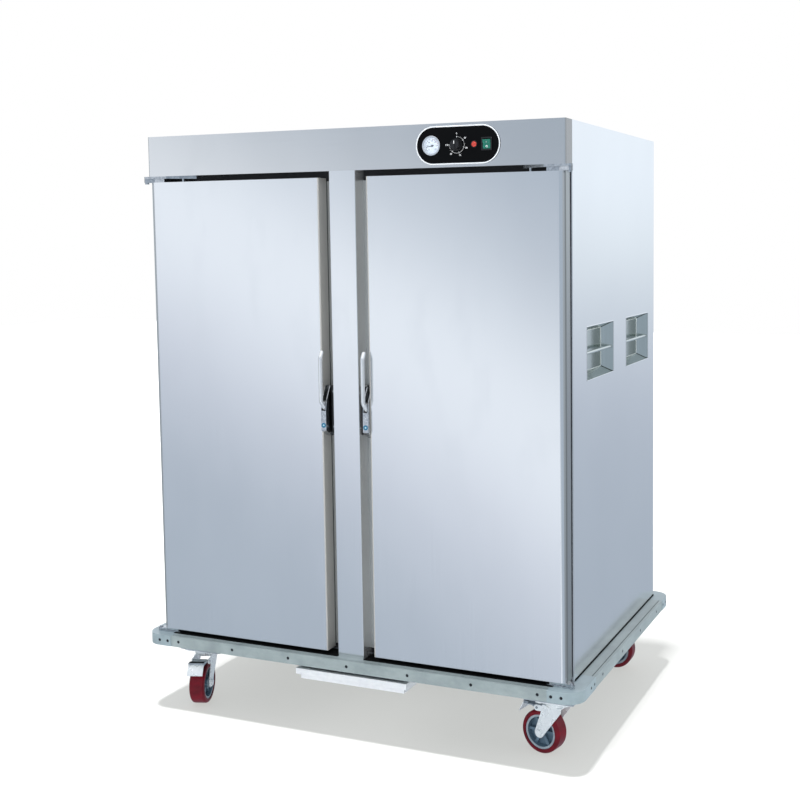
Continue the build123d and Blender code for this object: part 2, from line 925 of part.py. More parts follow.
def caster_bolts():
    found = []
    for x, y in bolt_places:
        bolt = rod_z(x, y, z_plate, z_pad, bolt_radius)
        bolt += hexagon_z(x, y, z_pad, z_pad + bolt_head_height, bolt_head_radius)
        bolt += hexagon_z(x, y, z_plate - bolt_head_height, z_plate, bolt_head_radius)
        found.append(bolt)
    return found


def fork():
    """The swivel crown with its two slanted legs."""
    half, corner = leg_top_width / 2, leg_top_height / 2
    bore = rod_z(0, 0, z_crown - 1, z_crown_top + 1, kingpin_radius + running_clearance)
    crown = rod_z(0, 0, z_crown, z_crown_top, crown_radius)
    crown += span(-half, half, -y_leg_out, y_leg_out, z_crown, z_crown + leg_thickness)
    z_low, z_high = z_crown - corner, z_crown + leg_thickness
    axle_lobe = (-caster_trail, z_axle, leg_lobe)
    leg = link(axle_lobe, (-half + corner, z_low, corner), (half - corner, z_low, corner))
    leg += link((-pedal_pivot_back, z_pedal, pedal_lug), (0, z_low, corner))
    leg += outline([(-half, z_low), (half, z_low), (half, z_high), (-half, z_high)])
    leg -= Pos(-pedal_pivot_back, z_pedal) * Circle(pedal_pin_radius + running_clearance)
    leg -= Pos(-caster_trail, z_axle) * Circle(axle_radius)
    legs = profile_y(leg, y_leg, y_leg_out) + profile_y(leg, -y_leg_out, -y_leg)
    return crown + legs - bore


def axle():
    """The wheel bolt with a head and a nut outside the legs."""
    end = y_leg_out + axle_head_height
    bolt = rod_y(-caster_trail, -y_leg_out, y_leg_out, z_axle, axle_radius)
    nut = Pos(-caster_trail, z_axle) * RegularPolygon(axle_head_radius, 6)
    bolt += profile_y(nut, y_leg_out, end)
    return bolt + profile_y(nut, -end, -y_leg_out)


def wheel_hub():
    """A moulded wheel centre: a boss and a rim on a thin web with ribs."""
    x, z = -caster_trail, z_axle
    half = hub_rim_width / 2
    body = rod_y(x, -half, half, z, hub_radius)
    body -= rod_y(x, -half - 1, half + 1, z, hub_radius - hub_rim)
    body += rod_y(x, -hub_web / 2, hub_web / 2, z, hub_radius - hub_rim / 2)
    reach = hub_radius - hub_rim / 2 - hub_boss_radius / 2
    middle = hub_boss_radius / 2 + reach / 2
    for k in range(hub_spokes):
        rib = Pos(middle, 0, 0) * Box(reach, hub_spoke_depth, hub_spoke_width)
        body += Pos(x, 0, z) * Rot(0, k * 360 / hub_spokes, 0) * rib
    end = y_leg - side_play
    body += rod_y(x, -end, end, z, hub_boss_radius)
    return body - rod_y(x, -end - 1, end + 1, z, axle_radius + running_clearance)


def tyre():
    half = tyre_width / 2
    ring = rod_y(-caster_trail, -half, half, z_axle, wheel_diameter / 2)
    ring = fillet(ring.edges().filter_by(GeomType.CIRCLE), min(tyre_edge, tyre_thickness - 1))
    return ring - rod_y(-caster_trail, -half - 1, half + 1, z_axle, hub_radius)


def brake_pedal():
    """A pedal on a cross pin between the legs, with a shoe over the tyre."""
    half = y_leg - pedal_play
    x0, x1 = -pedal_tip_back, -pedal_pivot_back
    top = z_pedal + pedal_rise
    body = rod_y(x1, -half, half, z_pedal, pedal_boss)
    body += span(x0, x1, -half, half, top - pedal_sheet, top)
    body += span(x0, x0 + pedal_pad_length, -half, half, top, top + pedal_pad_height)
    x_shoe = x1 - pedal_shoe_back - pedal_shoe_length / 2
    wide = pedal_shoe_width / 2
    z_shoe = z_pedal - pedal_shoe_drop
    body += span(x_shoe, x_shoe + pedal_shoe_length, -wide, wide, z_shoe, top)
    end = y_leg_out + pedal_pin_end
    return body + rod_y(x1, -end, end, z_pedal, pedal_pin_radius)


plates, bolts = [], []
for corner_name, (x_place, y_place, turn) in caster_places.items():
    fixed = Pos(x_place, y_place, 0)
    turned = fixed * Rot(0, 0, turn)
    plates.append(fixed * caster_plate())
    bolts += [fixed * bolt for bolt in caster_bolts()]
    keep("fork_" + corner_name, [turned * fork(), turned * axle()])
    keep("wheel_hub_" + corner_name, turned * wheel_hub())
    keep("tyre_" + corner_name, turned * tyre())
    if corner_name.startswith("front"):
        keep("brake_pedal_" + corner_name, turned * brake_pedal())
keep("caster_plates", plates)
keep("caster_bolts", bolts)


# Hinges at the right-hand door, mirrored for the left
def hinge_disc(z0, z1):
    return rod_z(x_pivot, y_pivot, z0, z1, hinge_lug_radius)


def fixed_plate(back_length, z0, z1):
    """The tapered plate that is fixed to the body, with its round lug."""
    y_rear = y_body - hinge_gap
    points = [
        (x_pivot, y_pivot - hinge_lug_radius),
        (x_pivot - hinge_plate_front, y_face + hinge_front_inset),
        (x_pivot - back_length, y_rear),
        (x_body, y_rear),
        (x_pivot + hinge_lug_radius, y_pivot),
    ]
    return plate_z(points, z0, z1) + hinge_disc(z0, z1)


def hinge_top():
    """The plate under the header, with its pin and the door's stop stud."""
    z0 = z_header - hinge_plate_top
    z_pin = z_door_top - hinge_gap
    plate = fixed_plate(hinge_plate_back, z0, z_header)
    plate += rod_z(x_pivot, y_pivot, z_pin, z0, hinge_pin_radius)
    plate += rod_z(x_pivot, y_pivot, z_pin - hinge_head_height, z_pin, hinge_head_radius)
    x_stud, y_stud = x_pivot - hinge_stud_place, (y_face + y_body) / 2
    return plate + rod_z(x_stud, y_stud, z_door_top + hinge_stud_gap, z0, hinge_stud_radius)


def hinge_bottom():
    """The plate on the bumper's top, with its pin and nut."""
    z1 = z_bumper_top + hinge_plate_bottom
    z_nut = z_door + hinge_gap
    plate = fixed_plate(hinge_plate_low, z_bumper_top, z1)
    plate += rod_z(x_pivot, y_pivot, z1, z_nut, hinge_pin_radius)
    return plate + hexagon_z(x_pivot, y_pivot, z_nut, z_nut + hinge_head_height, hinge_head_radius)


def hinge_leaf(z0, z1):
    """The part of a hinge that is fixed to the door's end."""
    y0 = y_face + hinge_leaf_inset
    y1 = y0 + hinge_leaf_depth
    x_end = x_pivot - hinge_leaf_length
    points = [
        (x_pivot, y_pivot - hinge_lug_radius),
        (x_outer - door_corner, y0),
        (x_end, y0),
        (x_end, y1),
        (x_outer - door_corner / 2, y1),
        (x_pivot + hinge_lug_radius, y_pivot),
    ]
    bore = rod_z(x_pivot, y_pivot, z0 - 1, z1 + 1, hinge_pin_radius + running_clearance)
    return plate_z(points, z0, z1) + hinge_disc(z0, z1) - bore


keep("hinge_plates", both([hinge_top(), hinge_bottom()]))


# Doors
def door_block(edge, y_rear):
    """The door's outer shape, drawn in by edge, with its rounded front corners."""
    x0, x1 = x_free + edge, x_outer - edge
    body = span(x0, x1, y_face + edge, y_rear, z_door + edge, z_door_top - edge)
    x_mid, y_mid = (x0 + x1) / 2, (y_face + y_rear) / 2

    def front_edges(of_body, hinge_side):
        upright = [e for e in of_body.edges().filter_by(Axis.Z) if e.center().Y < y_mid]
        return [e for e in upright if (e.center().X > x_mid) == hinge_side]

    body = fillet(front_edges(body, False), door_edge_radius - edge)
    return fillet(front_edges(body, True), door_corner - edge)


def door_skin():
    """The outer pan: a flat face with folded edges, open at the back."""
    return door_block(0, y_door_back) - door_block(door_sheet, y_door_back + door_sheet)


def door_core():
    """Rigid insulation that fills the door pan."""
    return door_block(door_sheet, y_door_back - door_sheet)


def door_liner():
    t = door_sheet
    return span(x_free + t, x_outer - t, y_door_back - t, y_door_back, z_door + t, z_door_top - t)


def door_gasket():
    """Four strips of magnetic seal round the compartment's opening."""
    y0, y1 = y_door_back, y_body - gasket_clearance
    x0, x1 = x_bay_in - gasket_margin, x_bay_out + gasket_margin
    z0, z1 = z_bay - gasket_margin, z_bay_top + gasket_margin
    w = gasket_width
    return [
        span(x0 - w, x1 + w, y0, y1, z0 - w, z0),
        span(x0 - w, x1 + w, y0, y1, z1, z1 + w),
        span(x0 - w, x0, y0, y1, z0, z1),
        span(x1, x1 + w, y0, y1, z0, z1),
    ]


# Door latches, drawn at the right-hand door's free edge
x_latch = x_free - latch_width
x_lever = x_latch + latch_width / 2
y_latch = y_face - latch_front
y_latch_back = y_face + latch_depth
y_latch_pivot = y_face + latch_pivot_behind
z_latch_pivot = latch_pivot_height
z_latch_mouth = z_latch_pivot - latch_mouth
z_latch_bottom = z_latch_pivot - latch_bottom
z_latch_chin = z_latch_bottom + latch_chin
z_latch_top = z_latch_pivot + latch_top


def latch_case():
    """A folded case on the door's edge: two cheeks, a front cover and the lever's pin."""
    t = latch_cheek
    y_foot = y_latch_back - latch_bottom_length
    cheek = outline(
        [
            (y_latch, z_latch_chin),
            (y_latch, z_latch_mouth),
            (y_latch + latch_shoulder_back, z_latch_pivot + latch_shoulder),
            (y_latch_back - latch_top_length, z_latch_top),
            (y_latch_back, z_latch_top),
            (y_latch_back, z_latch_bottom),
            (y_foot, z_latch_bottom),
        ]
    )
    cover = outline(
        [
            (y_latch, z_latch_chin),
            (y_latch, z_latch_mouth),
            (y_latch + t, z_latch_mouth),
            (y_latch + t, z_latch_chin),
            (y_foot, z_latch_bottom + t),
            (y_foot, z_latch_bottom),
        ]
    )
    case = profile_x(cheek, x_latch, x_latch + t) + profile_x(cheek, x_free - t, x_free)
    case += profile_x(cover, x_latch, x_free)
    return case + rod_x(x_latch, x_free, y_latch_pivot, z_latch_pivot, latch_pin_radius)


def handle():
    """A lever: a round grip in front of the door and a heel inside the case."""
    x, y, z = x_lever, y_latch_pivot, z_latch_pivot
    y_grip = y_face - grip_standoff
    lug = (y, z, lever_lug_radius)
    arm = link(lug, (y + heel_behind, z - heel_drop, heel_radius))
    arm += link(lug, (y_grip + arm_behind_grip, z, arm_radius))
    lever = profile_x(arm, x - lever_width / 2, x + lever_width / 2)
    path = FilletPolyline(
        (x, y_grip + grip_root_behind, z - grip_root_drop),
        (x, y_grip, z + grip_elbow),
        (x, y_grip, z + grip_top - grip_bend),
        (x, y_grip + grip_top_return, z + grip_top),
        radius=grip_bend,
    )
    lever += sweep(Plane(origin=path @ 0, z_dir=path % 0) * Circle(grip_radius), path=path)
    for end in (path @ 0, path @ 1):
        lever += Pos(end) * Sphere(grip_radius)
    bore_radius = latch_pin_radius + running_clearance
    return lever - rod_x(x - latch_width, x + latch_width, y, z, bore_radius)


def latch_keeper():
    """A block on the mullion's side with the strike plate that the heel pushes."""
    x0, z = x_mullion, z_latch_pivot
    x1 = x0 + keeper_thickness
    z0, z1 = z - keeper_bottom, z + keeper_top
    body = span(x0, x1, y_body - keeper_depth, y_body, z0, z1)
    z0 = z - strike_centre_drop - strike_height / 2
    y0 = y_body - strike_thickness
    return body + span(x1, x1 + strike_width, y0, y_body, z0, z0 + strike_height)


z_leaf_top = z_header - hinge_plate_top - hinge_gap
z_leaf_bottom = z_bumper_top + hinge_plate_bottom + hinge_gap
door_parts = {
    "door_skin_": [door_skin()],
    "door_core_": [door_core()],
    "door_liner_": [door_liner()],
    "door_gasket_": door_gasket(),
    "door_fittings_": [hinge_leaf(z_door_top, z_leaf_top), hinge_leaf(z_leaf_bottom, z_door)],
    "handle_": [handle()],
}
door_parts["door_fittings_"].append(latch_case())
for part_name, pieces in door_parts.items():
    keep(part_name + "right", pieces)
    keep(part_name + "left", [flip(piece) for piece in pieces])
keep("latch_keepers", both([latch_keeper()]))

# Control panel
y_dial = y_panel - dial_flange
y_dial_floor = y_dial + dial_well_depth


def control_plate():
    straight = control_plate_width - control_plate_height
    face = Pos(control_x, z_control) * SlotCenterToCenter(straight, control_plate_height)
    return profile_y(face, y_panel, y_face) - control_holes(y_panel - 1, y_face + 1)


def thermometer_case():
    """A cup through the panel, with a flange in front and a pivot stub in its well."""
    z = z_control
    case = rod_y(x_dial, y_dial, y_panel, z, dial_radius)
    case += rod_y(x_dial, y_panel, y_panel + dial_depth, z, dial_body_radius)
    case -= rod_y(x_dial, y_dial - 1, y_dial_floor, z, dial_well_radius)
    return case + rod_y(x_dial, y_dial_floor - dial_stub_length, y_dial_floor, z, dial_stub_radius)


def thermometer_lens():
    y0 = y_dial + dial_lens_set_back
    return rod_y(x_dial, y0, y0 + dial_lens, z_control, dial_well_radius)


def thermometer_needle():
    y1 = y_dial_floor - needle_lift
    y0 = y1 - needle_hub_height
    y_mid = (y0 + y1) / 2
    half, tip = needle_width / 2, needle_tip / 2
    blade = outline(
        [(-needle_tail, half), (-needle_tail, -half), (needle_length, -tip), (needle_length, tip)]
    )
    pointer = Pos(x_dial, z_control) * Rot(0, 0, needle_angle) * blade
    body = rod_y(x_dial, y0, y1, z_control, needle_hub_radius)
    body += profile_y(pointer, y_mid - needle_sheet / 2, y_mid + needle_sheet / 2)
    return body - rod_y(x_dial, y0 - 1, y1 + 1, z_control, dial_stub_radius + running_clearance)


def thermostat():
    """The control body behind the header's face, with its shaft."""
    y0, half = y_face + skin, thermostat_body / 2
    x0, x1 = x_knob - half, x_knob + half
    body = span(x0, x1, y0, y0 + thermostat_depth, z_control - half, z_control + half)
    return body + rod_y(x_knob, y_panel - knob_bore_depth, y0, z_control, shaft_radius)


def thermostat_knob():
    """A round knob on a skirt, with a raised pointer across its face."""
    z = z_control
    y1 = y_panel - knob_gap
    y0 = y1 - knob_height
    knob = rod_y(x_knob, y1 - knob_skirt, y1, z, knob_radius)
    knob += rod_y(x_knob, y0, y1 - knob_skirt, z, knob_grip_radius)
    knob += block(x_knob, y0, z, knob_rib, knob_rib, 2 * knob_grip_radius - knob_rib)
    return knob - rod_y(x_knob, y1 - knob_bore_depth, y1 + 1, z, shaft_radius + running_clearance)


def indicator_lamp():
    y0 = y_panel - lamp_height
    dome = rod_y(x_lamp, y0, y_panel, z_control, lamp_radius)
    rims = dome.edges().filter_by(GeomType.CIRCLE)
    dome = fillet([e for e in rims if e.center().Y < y0 + lamp_height / 2], lamp_edge)
    return dome + rod_y(x_lamp, y_panel, y_panel + lamp_depth, z_control, lamp_body_radius)


switch_box_width = switch_hole_width - 2 * panel_hole_clearance
switch_box_height = switch_hole_height - 2 * panel_hole_clearance
switch_well_width = switch_box_width - 2 * switch_wall
switch_well_height = switch_box_height - 2 * switch_wall
rocker_pin_half = switch_well_width / 2 + rocker_pin_reach
y_rocker = y_panel + rocker_pivot_depth


def switch_housing():
    x, z = x_switch, z_control
    y0, y1 = y_panel - switch_bezel, y_panel + switch_depth
    y_bezel, y_box = (y0 + y_panel) / 2, (y_panel + y1) / 2
    body = block(x, y_bezel, z, switch_width, switch_bezel, switch_height)
    body += block(x, y_box, z, switch_box_width, switch_depth, switch_box_height)
    half, tall = switch_well_width / 2, switch_well_height / 2
    body -= span(x - half, x + half, y0 - 1, y1 - switch_wall, z - tall, z + tall)
    reach = rocker_pin_half + running_clearance
    return body - rod_x(x - reach, x + reach, y_rocker, z, rocker_pin_radius + running_clearance)


def switch_rocker():
    """A rocker with a dished face, tilted to its rest position, on a cross pin."""
    half, back = rocker_half, rocker_back
    face = outline(
        [
            (-rocker_front, half),
            (-rocker_dish, 0),
            (-rocker_front, -half),
            (0, -half + 1),
            (back, -back),
            (back, back),
            (0, half - 1),
        ]
    )
    face = Pos(y_rocker, z_control) * Rot(0, 0, rocker_tilt) * face
    wide, reach = switch_well_width / 2 - rocker_play, rocker_pin_half
    body = profile_x(face, x_switch - wide, x_switch + wide)
    return body + rod_x(x_switch - reach, x_switch + reach, y_rocker, z_control, rocker_pin_radius)


keep("control_plate", control_plate())
keep("thermometer_case", thermometer_case())
keep("thermometer_lens", thermometer_lens())
keep("thermometer_needle", thermometer_needle())
keep("thermostat", thermostat())
keep("thermostat_knob", thermostat_knob())
keep("indicator_lamp", indicator_lamp())
keep("switch_housing", switch_housing())
keep("switch_rocker", switch_rocker())

# Drip tray
y_tray = y_body - tray_front
y_tray_back = y_tray + tray_length
z_tray = tray_top - tray_height
x_tray_pan = tray_width / 2 - tray_rim


def drip_tray():
    """A folded tray with a rim all round and a taller face in front."""
    t, half, x = tray_sheet, tray_width / 2, x_tray_pan
    y0 = y_tray + t + tray_face_gap
    tray = span(-x, x, y0, y_tray_back, z_tray, tray_top)
    tray += span(-half, half, y_tray, y_tray_back, tray_top - t, tray_top)
    tray += span(-half, half, y_tray, y_tray + t, tray_top - tray_face_height, tray_top)
    return tray - span(-x + t, x - t, y0 + t, y_tray_back - t, z_tray + t, tray_top + 1)


def tray_runner():
    """A folded runner that hangs from the deck and carries one rim of the tray."""
    x0 = tray_width / 2 + runner_clearance
    x1 = x0 + runner_sheet
    y0 = y_chassis + chassis_sheet
    y1 = y_tray_back + runner_stop_gap + runner_sheet
    y_hang = y_chassis + beam_flange + runner_clearance
    z1 = tray_top - tray_sheet - runner_clearance
    z0 = z1 - runner_sheet
    runner = span(x0, x1, y0, y1, z0, z_beam_flange)
    runner += span(x0, x1, y_hang, y1, z_beam_flange, z_deck)
    runner += span(x1, x1 + runner_flange, y_hang, y1, z_deck - runner_sheet, z_deck)
    runner += span(x_tray_pan + 2 * runner_clearance, x1, y0, y1, z0, z1)
    return runner + span(x_tray_pan, x1, y1 - runner_sheet, y1, z0, tray_top)


keep("drip_tray", drip_tray())
keep("tray_runners", both([tray_runner()]))


# Power inlet
def power_inlet():
    """A recessed inlet with three contact pins."""
    z = z_base + inlet_above_deck
    y0 = y_back_panel + skin
    y1 = y0 + inlet_bezel
    wide = inlet_width - 2 * (inlet_bezel_overlap + panel_hole_clearance)
    tall = inlet_height - 2 * (inlet_bezel_overlap + panel_hole_clearance)
    body = block(inlet_x, (y0 + y1) / 2, z, inlet_width, inlet_bezel, inlet_height)
    body += block(inlet_x, y0 - inlet_depth / 2, z, wide, inlet_depth, tall)
    y_floor = y1 - inlet_recess
    half, high = inlet_recess_width / 2, inlet_recess_height / 2
    body -= span(inlet_x - half, inlet_x + half, y_floor, y1 + 1, z - high, z + high)
    for step in (-1, 0, 1):
        x = inlet_x + step * inlet_pin_spacing / 2
        rise = inlet_pin_offset * (1 - 2 * abs(step))
        body += rod_y(x, y_floor, y1 - inlet_bezel, z + rise, inlet_pin_radius)
    return body


keep("power_inlet", power_inlet())

for node_name, solids in nodes.items():
    shape = solids[0] if len(solids) == 1 else Compound(solids)
    export_step(shape, "parts/" + node_name + ".step")
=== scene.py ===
"""Looks of the heated mobile cabinet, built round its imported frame.

Every length is in metres, in the row frame: +Z is up, the doors face -Y, and the origin
lies on the floor under the middle of the bumper.
"""

from __future__ import annotations

import json
import logging
import math
from dataclasses import dataclass
from enum import Enum
from typing import Iterable, Sequence, Union

import bmesh
import bpy
from mathutils import Matrix, Vector

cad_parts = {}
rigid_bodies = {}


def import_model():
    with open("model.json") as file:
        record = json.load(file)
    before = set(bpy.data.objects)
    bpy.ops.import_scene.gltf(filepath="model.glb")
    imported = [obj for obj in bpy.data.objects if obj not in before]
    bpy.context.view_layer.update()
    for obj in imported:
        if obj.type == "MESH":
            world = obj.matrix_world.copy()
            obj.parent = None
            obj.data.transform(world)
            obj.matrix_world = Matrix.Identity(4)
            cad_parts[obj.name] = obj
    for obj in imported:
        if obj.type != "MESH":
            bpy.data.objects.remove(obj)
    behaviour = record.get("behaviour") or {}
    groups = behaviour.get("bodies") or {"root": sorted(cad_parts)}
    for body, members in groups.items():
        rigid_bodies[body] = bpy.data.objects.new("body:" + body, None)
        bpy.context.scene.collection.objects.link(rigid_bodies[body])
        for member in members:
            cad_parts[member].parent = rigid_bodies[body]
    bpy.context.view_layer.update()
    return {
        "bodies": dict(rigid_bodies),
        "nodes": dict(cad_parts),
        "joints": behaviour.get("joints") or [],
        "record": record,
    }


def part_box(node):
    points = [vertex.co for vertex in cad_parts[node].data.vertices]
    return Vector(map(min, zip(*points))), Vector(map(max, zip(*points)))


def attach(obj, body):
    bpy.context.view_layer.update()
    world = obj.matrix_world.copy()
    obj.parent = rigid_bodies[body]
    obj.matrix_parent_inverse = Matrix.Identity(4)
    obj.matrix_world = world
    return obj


LOG = logging.getLogger("heated_cabinet")
MM = 0.001

Colour = tuple[float, float, float]
Point = tuple[float, float, float]
Flat = tuple[float, float]
Term = Union["Channel", float]

CORNERS = ("front_left", "front_right", "rear_left", "rear_right")
SIDES = ("right", "left")
SHARP_EDGE = math.radians(40.0)
WHITE = (1.0, 1.0, 1.0)


def colour(code: str) -> Colour:
    """Turns a screen colour into a linear one.

    Args:
        code: Six hexadecimal digits, red first.

    Returns:
        The linear red, green and blue.
    """
    parts = [int(code[k : k + 2], 16) / 255 for k in (0, 2, 4)]
    linear = [p / 12.92 if p <= 0.04045 else ((p + 0.055) / 1.055) ** 2.4 for p in parts]
    return (linear[0], linear[1], linear[2])


class Channel:
    """A shader socket that takes part in sums, differences and products."""

    def __init__(self, graph: "Graph", socket: bpy.types.NodeSocket) -> None:
        """Wraps one output socket of a graph."""
        self.graph = graph
        self.socket = socket

    def _math(self, operation: str, first: Term, second: Term) -> "Channel":
        """Adds one Math node on two values."""
        return self.graph.node("ShaderNodeMath", {"operation": operation}, {0: first, 1: second})

    def __add__(self, other: Term) -> "Channel":
        """The sum of two values."""
        return self._math("ADD", self, other)

    def __sub__(self, other: Term) -> "Channel":
        """The difference of two values."""
        return self._math("SUBTRACT", self, other)

    def __rsub__(self, other: Term) -> "Channel":
        """The difference of two values, the plain one first."""
        return self._math("SUBTRACT", other, self)

    def __mul__(self, other: Term) -> "Channel":
        """The product of two values."""
        return self._math("MULTIPLY", self, other)

    __radd__ = __add__
    __rmul__ = __mul__

    def between(self, low: float, high: float) -> "Channel":
        """Maps this value to 0 at low and 1 at high, and holds it there outside them."""
        inputs = {"Value": self, "From Min": low, "From Max": high}
        return self.graph.node("ShaderNodeMapRange", {"clamp": True}, inputs)


class Graph:
    """A node tree with one method that adds any node."""

    def __init__(self, tree: bpy.types.NodeTree) -> None:
        """Clears a node tree and starts on it."""
        self.tree = tree
        tree.nodes.clear()

    def node(
        self,
        kind: str,
        settings: dict[str, object] | None = None,
        inputs: dict[str | int, object] | None = None,
        output: str | int = 0,
    ) -> Channel | None:
        """Adds one node.

        Args:
            kind: The node's type.
            settings: Its properties, set first; "stops" holds a ramp's places and colours.
            inputs: Values or links for its sockets, by name or number.
            output: The socket that is wanted.

        Returns:
            That socket, or None where the node has no outputs.
        """
        made = self.tree.nodes.new(kind)
        for name, value in (settings or {}).items():
            if name == "stops":
                self._stops(made.color_ramp, value)
            else:
                setattr(made, name, value)
        for name, value in (inputs or {}).items():
            socket = made.inputs[name]
            if isinstance(value, Channel):
                self.tree.links.new(value.socket, socket)
            elif isinstance(value, tuple) and len(value) == 3 and socket.type == "RGBA":
                socket.default_value = (*value, 1.0)
            else:
                socket.default_value = value
        return Channel(self, made.outputs[output]) if made.outputs else None

    @staticmethod
    def _stops(ramp: bpy.types.ColorRamp, stops: Sequence[tuple[float, str]]) -> None:
        """Gives a ramp its places and screen colours."""
        while len(ramp.elements) < len(stops):
            ramp.elements.new(0.5)
        for element, (place, code) in zip(ramp.elements, stops):
            element.position = place
            element.color = (*colour(code), 1.0)

    def noise(self, stretch: Point, detail: float = 2.0, rough: float = 0.5) -> Channel:
        """Adds smooth noise over the object.

        Args:
            stretch: Its cycles per metre along each axis.
            detail: The number of finer layers.
            rough: The strength of the finer layers.

        Returns:
            The noise, which lies round 0.5.
        """
        place = self.node("ShaderNodeTexCoord", output="Object")
        settings = {"operation": "MULTIPLY"}
        spread = self.node("ShaderNodeVectorMath", settings, {0: place, 1: stretch})
        inputs = {"Vector": spread, "Scale": 1.0, "Detail": detail, "Roughness": rough}
        return self.node("ShaderNodeTexNoise", None, inputs)

    def axis(self, name: str, system: str = "Object") -> Channel:
        """One coordinate, X, Y or Z, of a system of coordinates."""
        place = self.node("ShaderNodeTexCoord", output=system)
        return self.node("ShaderNodeSeparateXYZ", None, {0: place}, name)

    def blend(self, share: Term, first: object, second: object) -> Channel:
        """A colour between two colours."""
        inputs = {0: share, 6: first, 7: second}
        return self.node("ShaderNodeMix", {"data_type": "RGBA"}, inputs, 2)

    def relief(self, height: Channel, distance: float, strength: float) -> Channel:
        """A normal that stands in fine relief."""
        inputs = {"Height": height, "Distance": distance, "Strength": strength}
        return self.node("ShaderNodeBump", None, inputs)

    def surface(self, **sockets: object) -> Channel:
        """The general surface shader, its sockets named with underscores for spaces."""
        inputs = {name.replace("_", " "): value for name, value in sockets.items()}
        return self.node("ShaderNodeBsdfPrincipled", None, inputs)


@dataclass(frozen=True)
class Finish:
    """What a surface is made of, and how it looks."""

    name: str

    def paint(self, graph: Graph) -> Channel:
        """Builds the surface shader; each kind of finish has its own."""
        raise NotImplementedError

    def material(self) -> bpy.types.Material:
        """Finds or makes the material of this finish.

        Returns:
            The material, the same one at each call.
        """
        found = bpy.data.materials.get(self.name)
        if found is not None:
            return found
        made = bpy.data.materials.new(self.name)
        made.use_nodes = True
        graph = Graph(made.node_tree)
        graph.node("ShaderNodeOutputMaterial", None, {"Surface": self.paint(graph)})
        return made


class Grain(Enum):
    """The way the brush lines of a sheet run, as the noise's stretch in cycles per metre."""

    ALONG_X = (5.0, 700.0, 700.0)
    ALONG_Y = (700.0, 5.0, 700.0)
    ALONG_Z = (700.0, 700.0, 5.0)


@dataclass(frozen=True)
class BrushedSteel(Finish):
    """Satin sheet steel with fine brush lines, cloudy polish and a few wipe marks."""

    light: Colour = (0.93, 0.935, 0.94)
    dark: Colour = (0.865, 0.87, 0.88)
    grain: Grain = Grain.ALONG_Z
    gloss: float = 0.17
    line_share: float = 0.07
    cloud_share: float = 0.06
    wipe_share: float = 0.03
    line_depth: float = 0.02 * MM
    line_strength: float = 0.35

    def marks(self, graph: Graph) -> tuple[Channel, Channel]:
        """The fine brush lines, and the broad clouds of the polish."""
        return graph.noise(self.grain.value, 3.0, 0.6), graph.noise((2.3, 2.3, 1.7), 3.0, 0.55)

    def sheet(self, graph: Graph) -> tuple[Channel, Channel, Channel]:
        """Mixes two close greys and varies the gloss along the brush lines.

        Args:
            graph: The node tree.

        Returns:
            The brush lines, the colour and the roughness.
        """
        lines, clouds = self.marks(graph)
        wipes = graph.noise((9.0, 9.0, 3.0), 4.0, 0.65).between(0.52, 0.72)
        shade = (lines * 0.35 + clouds * 0.65).between(0.3, 0.7)
        gloss = (lines - 0.5) * self.line_share + (clouds - 0.5) * self.cloud_share
        gloss = gloss + wipes * self.wipe_share + self.gloss
        return lines, graph.blend(shade, self.dark, self.light), gloss

    def brushed(
        self, graph: Graph, lines: Channel, face: Channel, metal: Term, gloss: Channel
    ) -> Channel:
        """A surface whose brush lines stand in fine relief."""
        normal = graph.relief(lines, self.line_depth, self.line_strength)
        return graph.surface(Base_Color=face, Metallic=metal, Roughness=gloss, Normal=normal)

    def paint(self, graph: Graph) -> Channel:
        """A plain sheet."""
        lines, face, gloss = self.sheet(graph)
        return self.brushed(graph, lines, face, 1.0, gloss)


@dataclass(frozen=True)
class PlatedSteel(Finish):
    """Plated or polished steel with a faint mottle and dulled patches."""

    light: Colour = (0.86, 0.87, 0.88)
    dark: Colour = (0.66, 0.68, 0.70)
    gloss: float = 0.22
    mottle: float = 120.0
    metal: float = 1.0
    patch_share: float = 0.16
    spot_share: float = 0.08
    spot_depth: float = 0.04 * MM

    def paint(self, graph: Graph) -> Channel:
        """Mottles the plating and dulls it in small patches.

        Args:
            graph: The node tree.

        Returns:
            The surface.
        """
        spots = graph.noise((self.mottle,) * 3, 4.0, 0.6)
        patches = graph.noise((30.0, 30.0, 30.0), 2.0, 0.5).between(0.35, 0.75)
        return graph.surface(
            Base_Color=graph.blend(spots.between(0.3, 0.7), self.dark, self.light),
            Metallic=self.metal,
            Roughness=patches * self.patch_share + (spots - 0.5) * self.spot_share + self.gloss,
            Normal=graph.relief(spots, self.spot_depth, 0.5),
        )


@dataclass(frozen=True)
class Moulding(Finish):
    """Moulded plastic or rubber with a fine skin, dust, a soft scuffed tone and, where set, a
    painted glow.
    """

    light: Colour
    dark: Colour
    gloss: float = 0.45
    pebble: float = 900.0
    pebble_depth: float = 0.06 * MM
    scuff_share: float = 0.12
    pebble_share: float = 0.10
    coat: float = 0.0
    coat_gloss: float = 0.12
    # glow: emission in the light colour, a painted glow where the part is no lamp.
    glow: float = 0.0
    mirror: float = 0.5

    def paint(self, graph: Graph) -> Channel:
        """Varies the tone in broad scuffs and gives the skin its fine pebble.

        Args:
            graph: The node tree.

        Returns:
            The surface.
        """
        pebble = graph.noise((self.pebble,) * 3, 2.0, 0.5)
        scuffs = graph.noise((14.0, 14.0, 22.0), 4.0, 0.6).between(0.3, 0.75)
        gloss = scuffs * self.scuff_share + (pebble - 0.5) * self.pebble_share + self.gloss
        sockets: dict[str, object] = {
            "Base_Color": graph.blend(scuffs, self.dark, self.light),
            "Roughness": gloss,
            "Normal": graph.relief(pebble, self.pebble_depth, 0.5),
            "Specular_IOR_Level": self.mirror,
        }
        if self.coat:
            sockets |= {"Coat_Weight": self.coat, "Coat_Roughness": self.coat_gloss}
        # Painted glow: the surface gives off its own light colour.
        if self.glow:
            sockets |= {"Emission_Color": self.light, "Emission_Strength": self.glow}
        return graph.surface(**sockets)


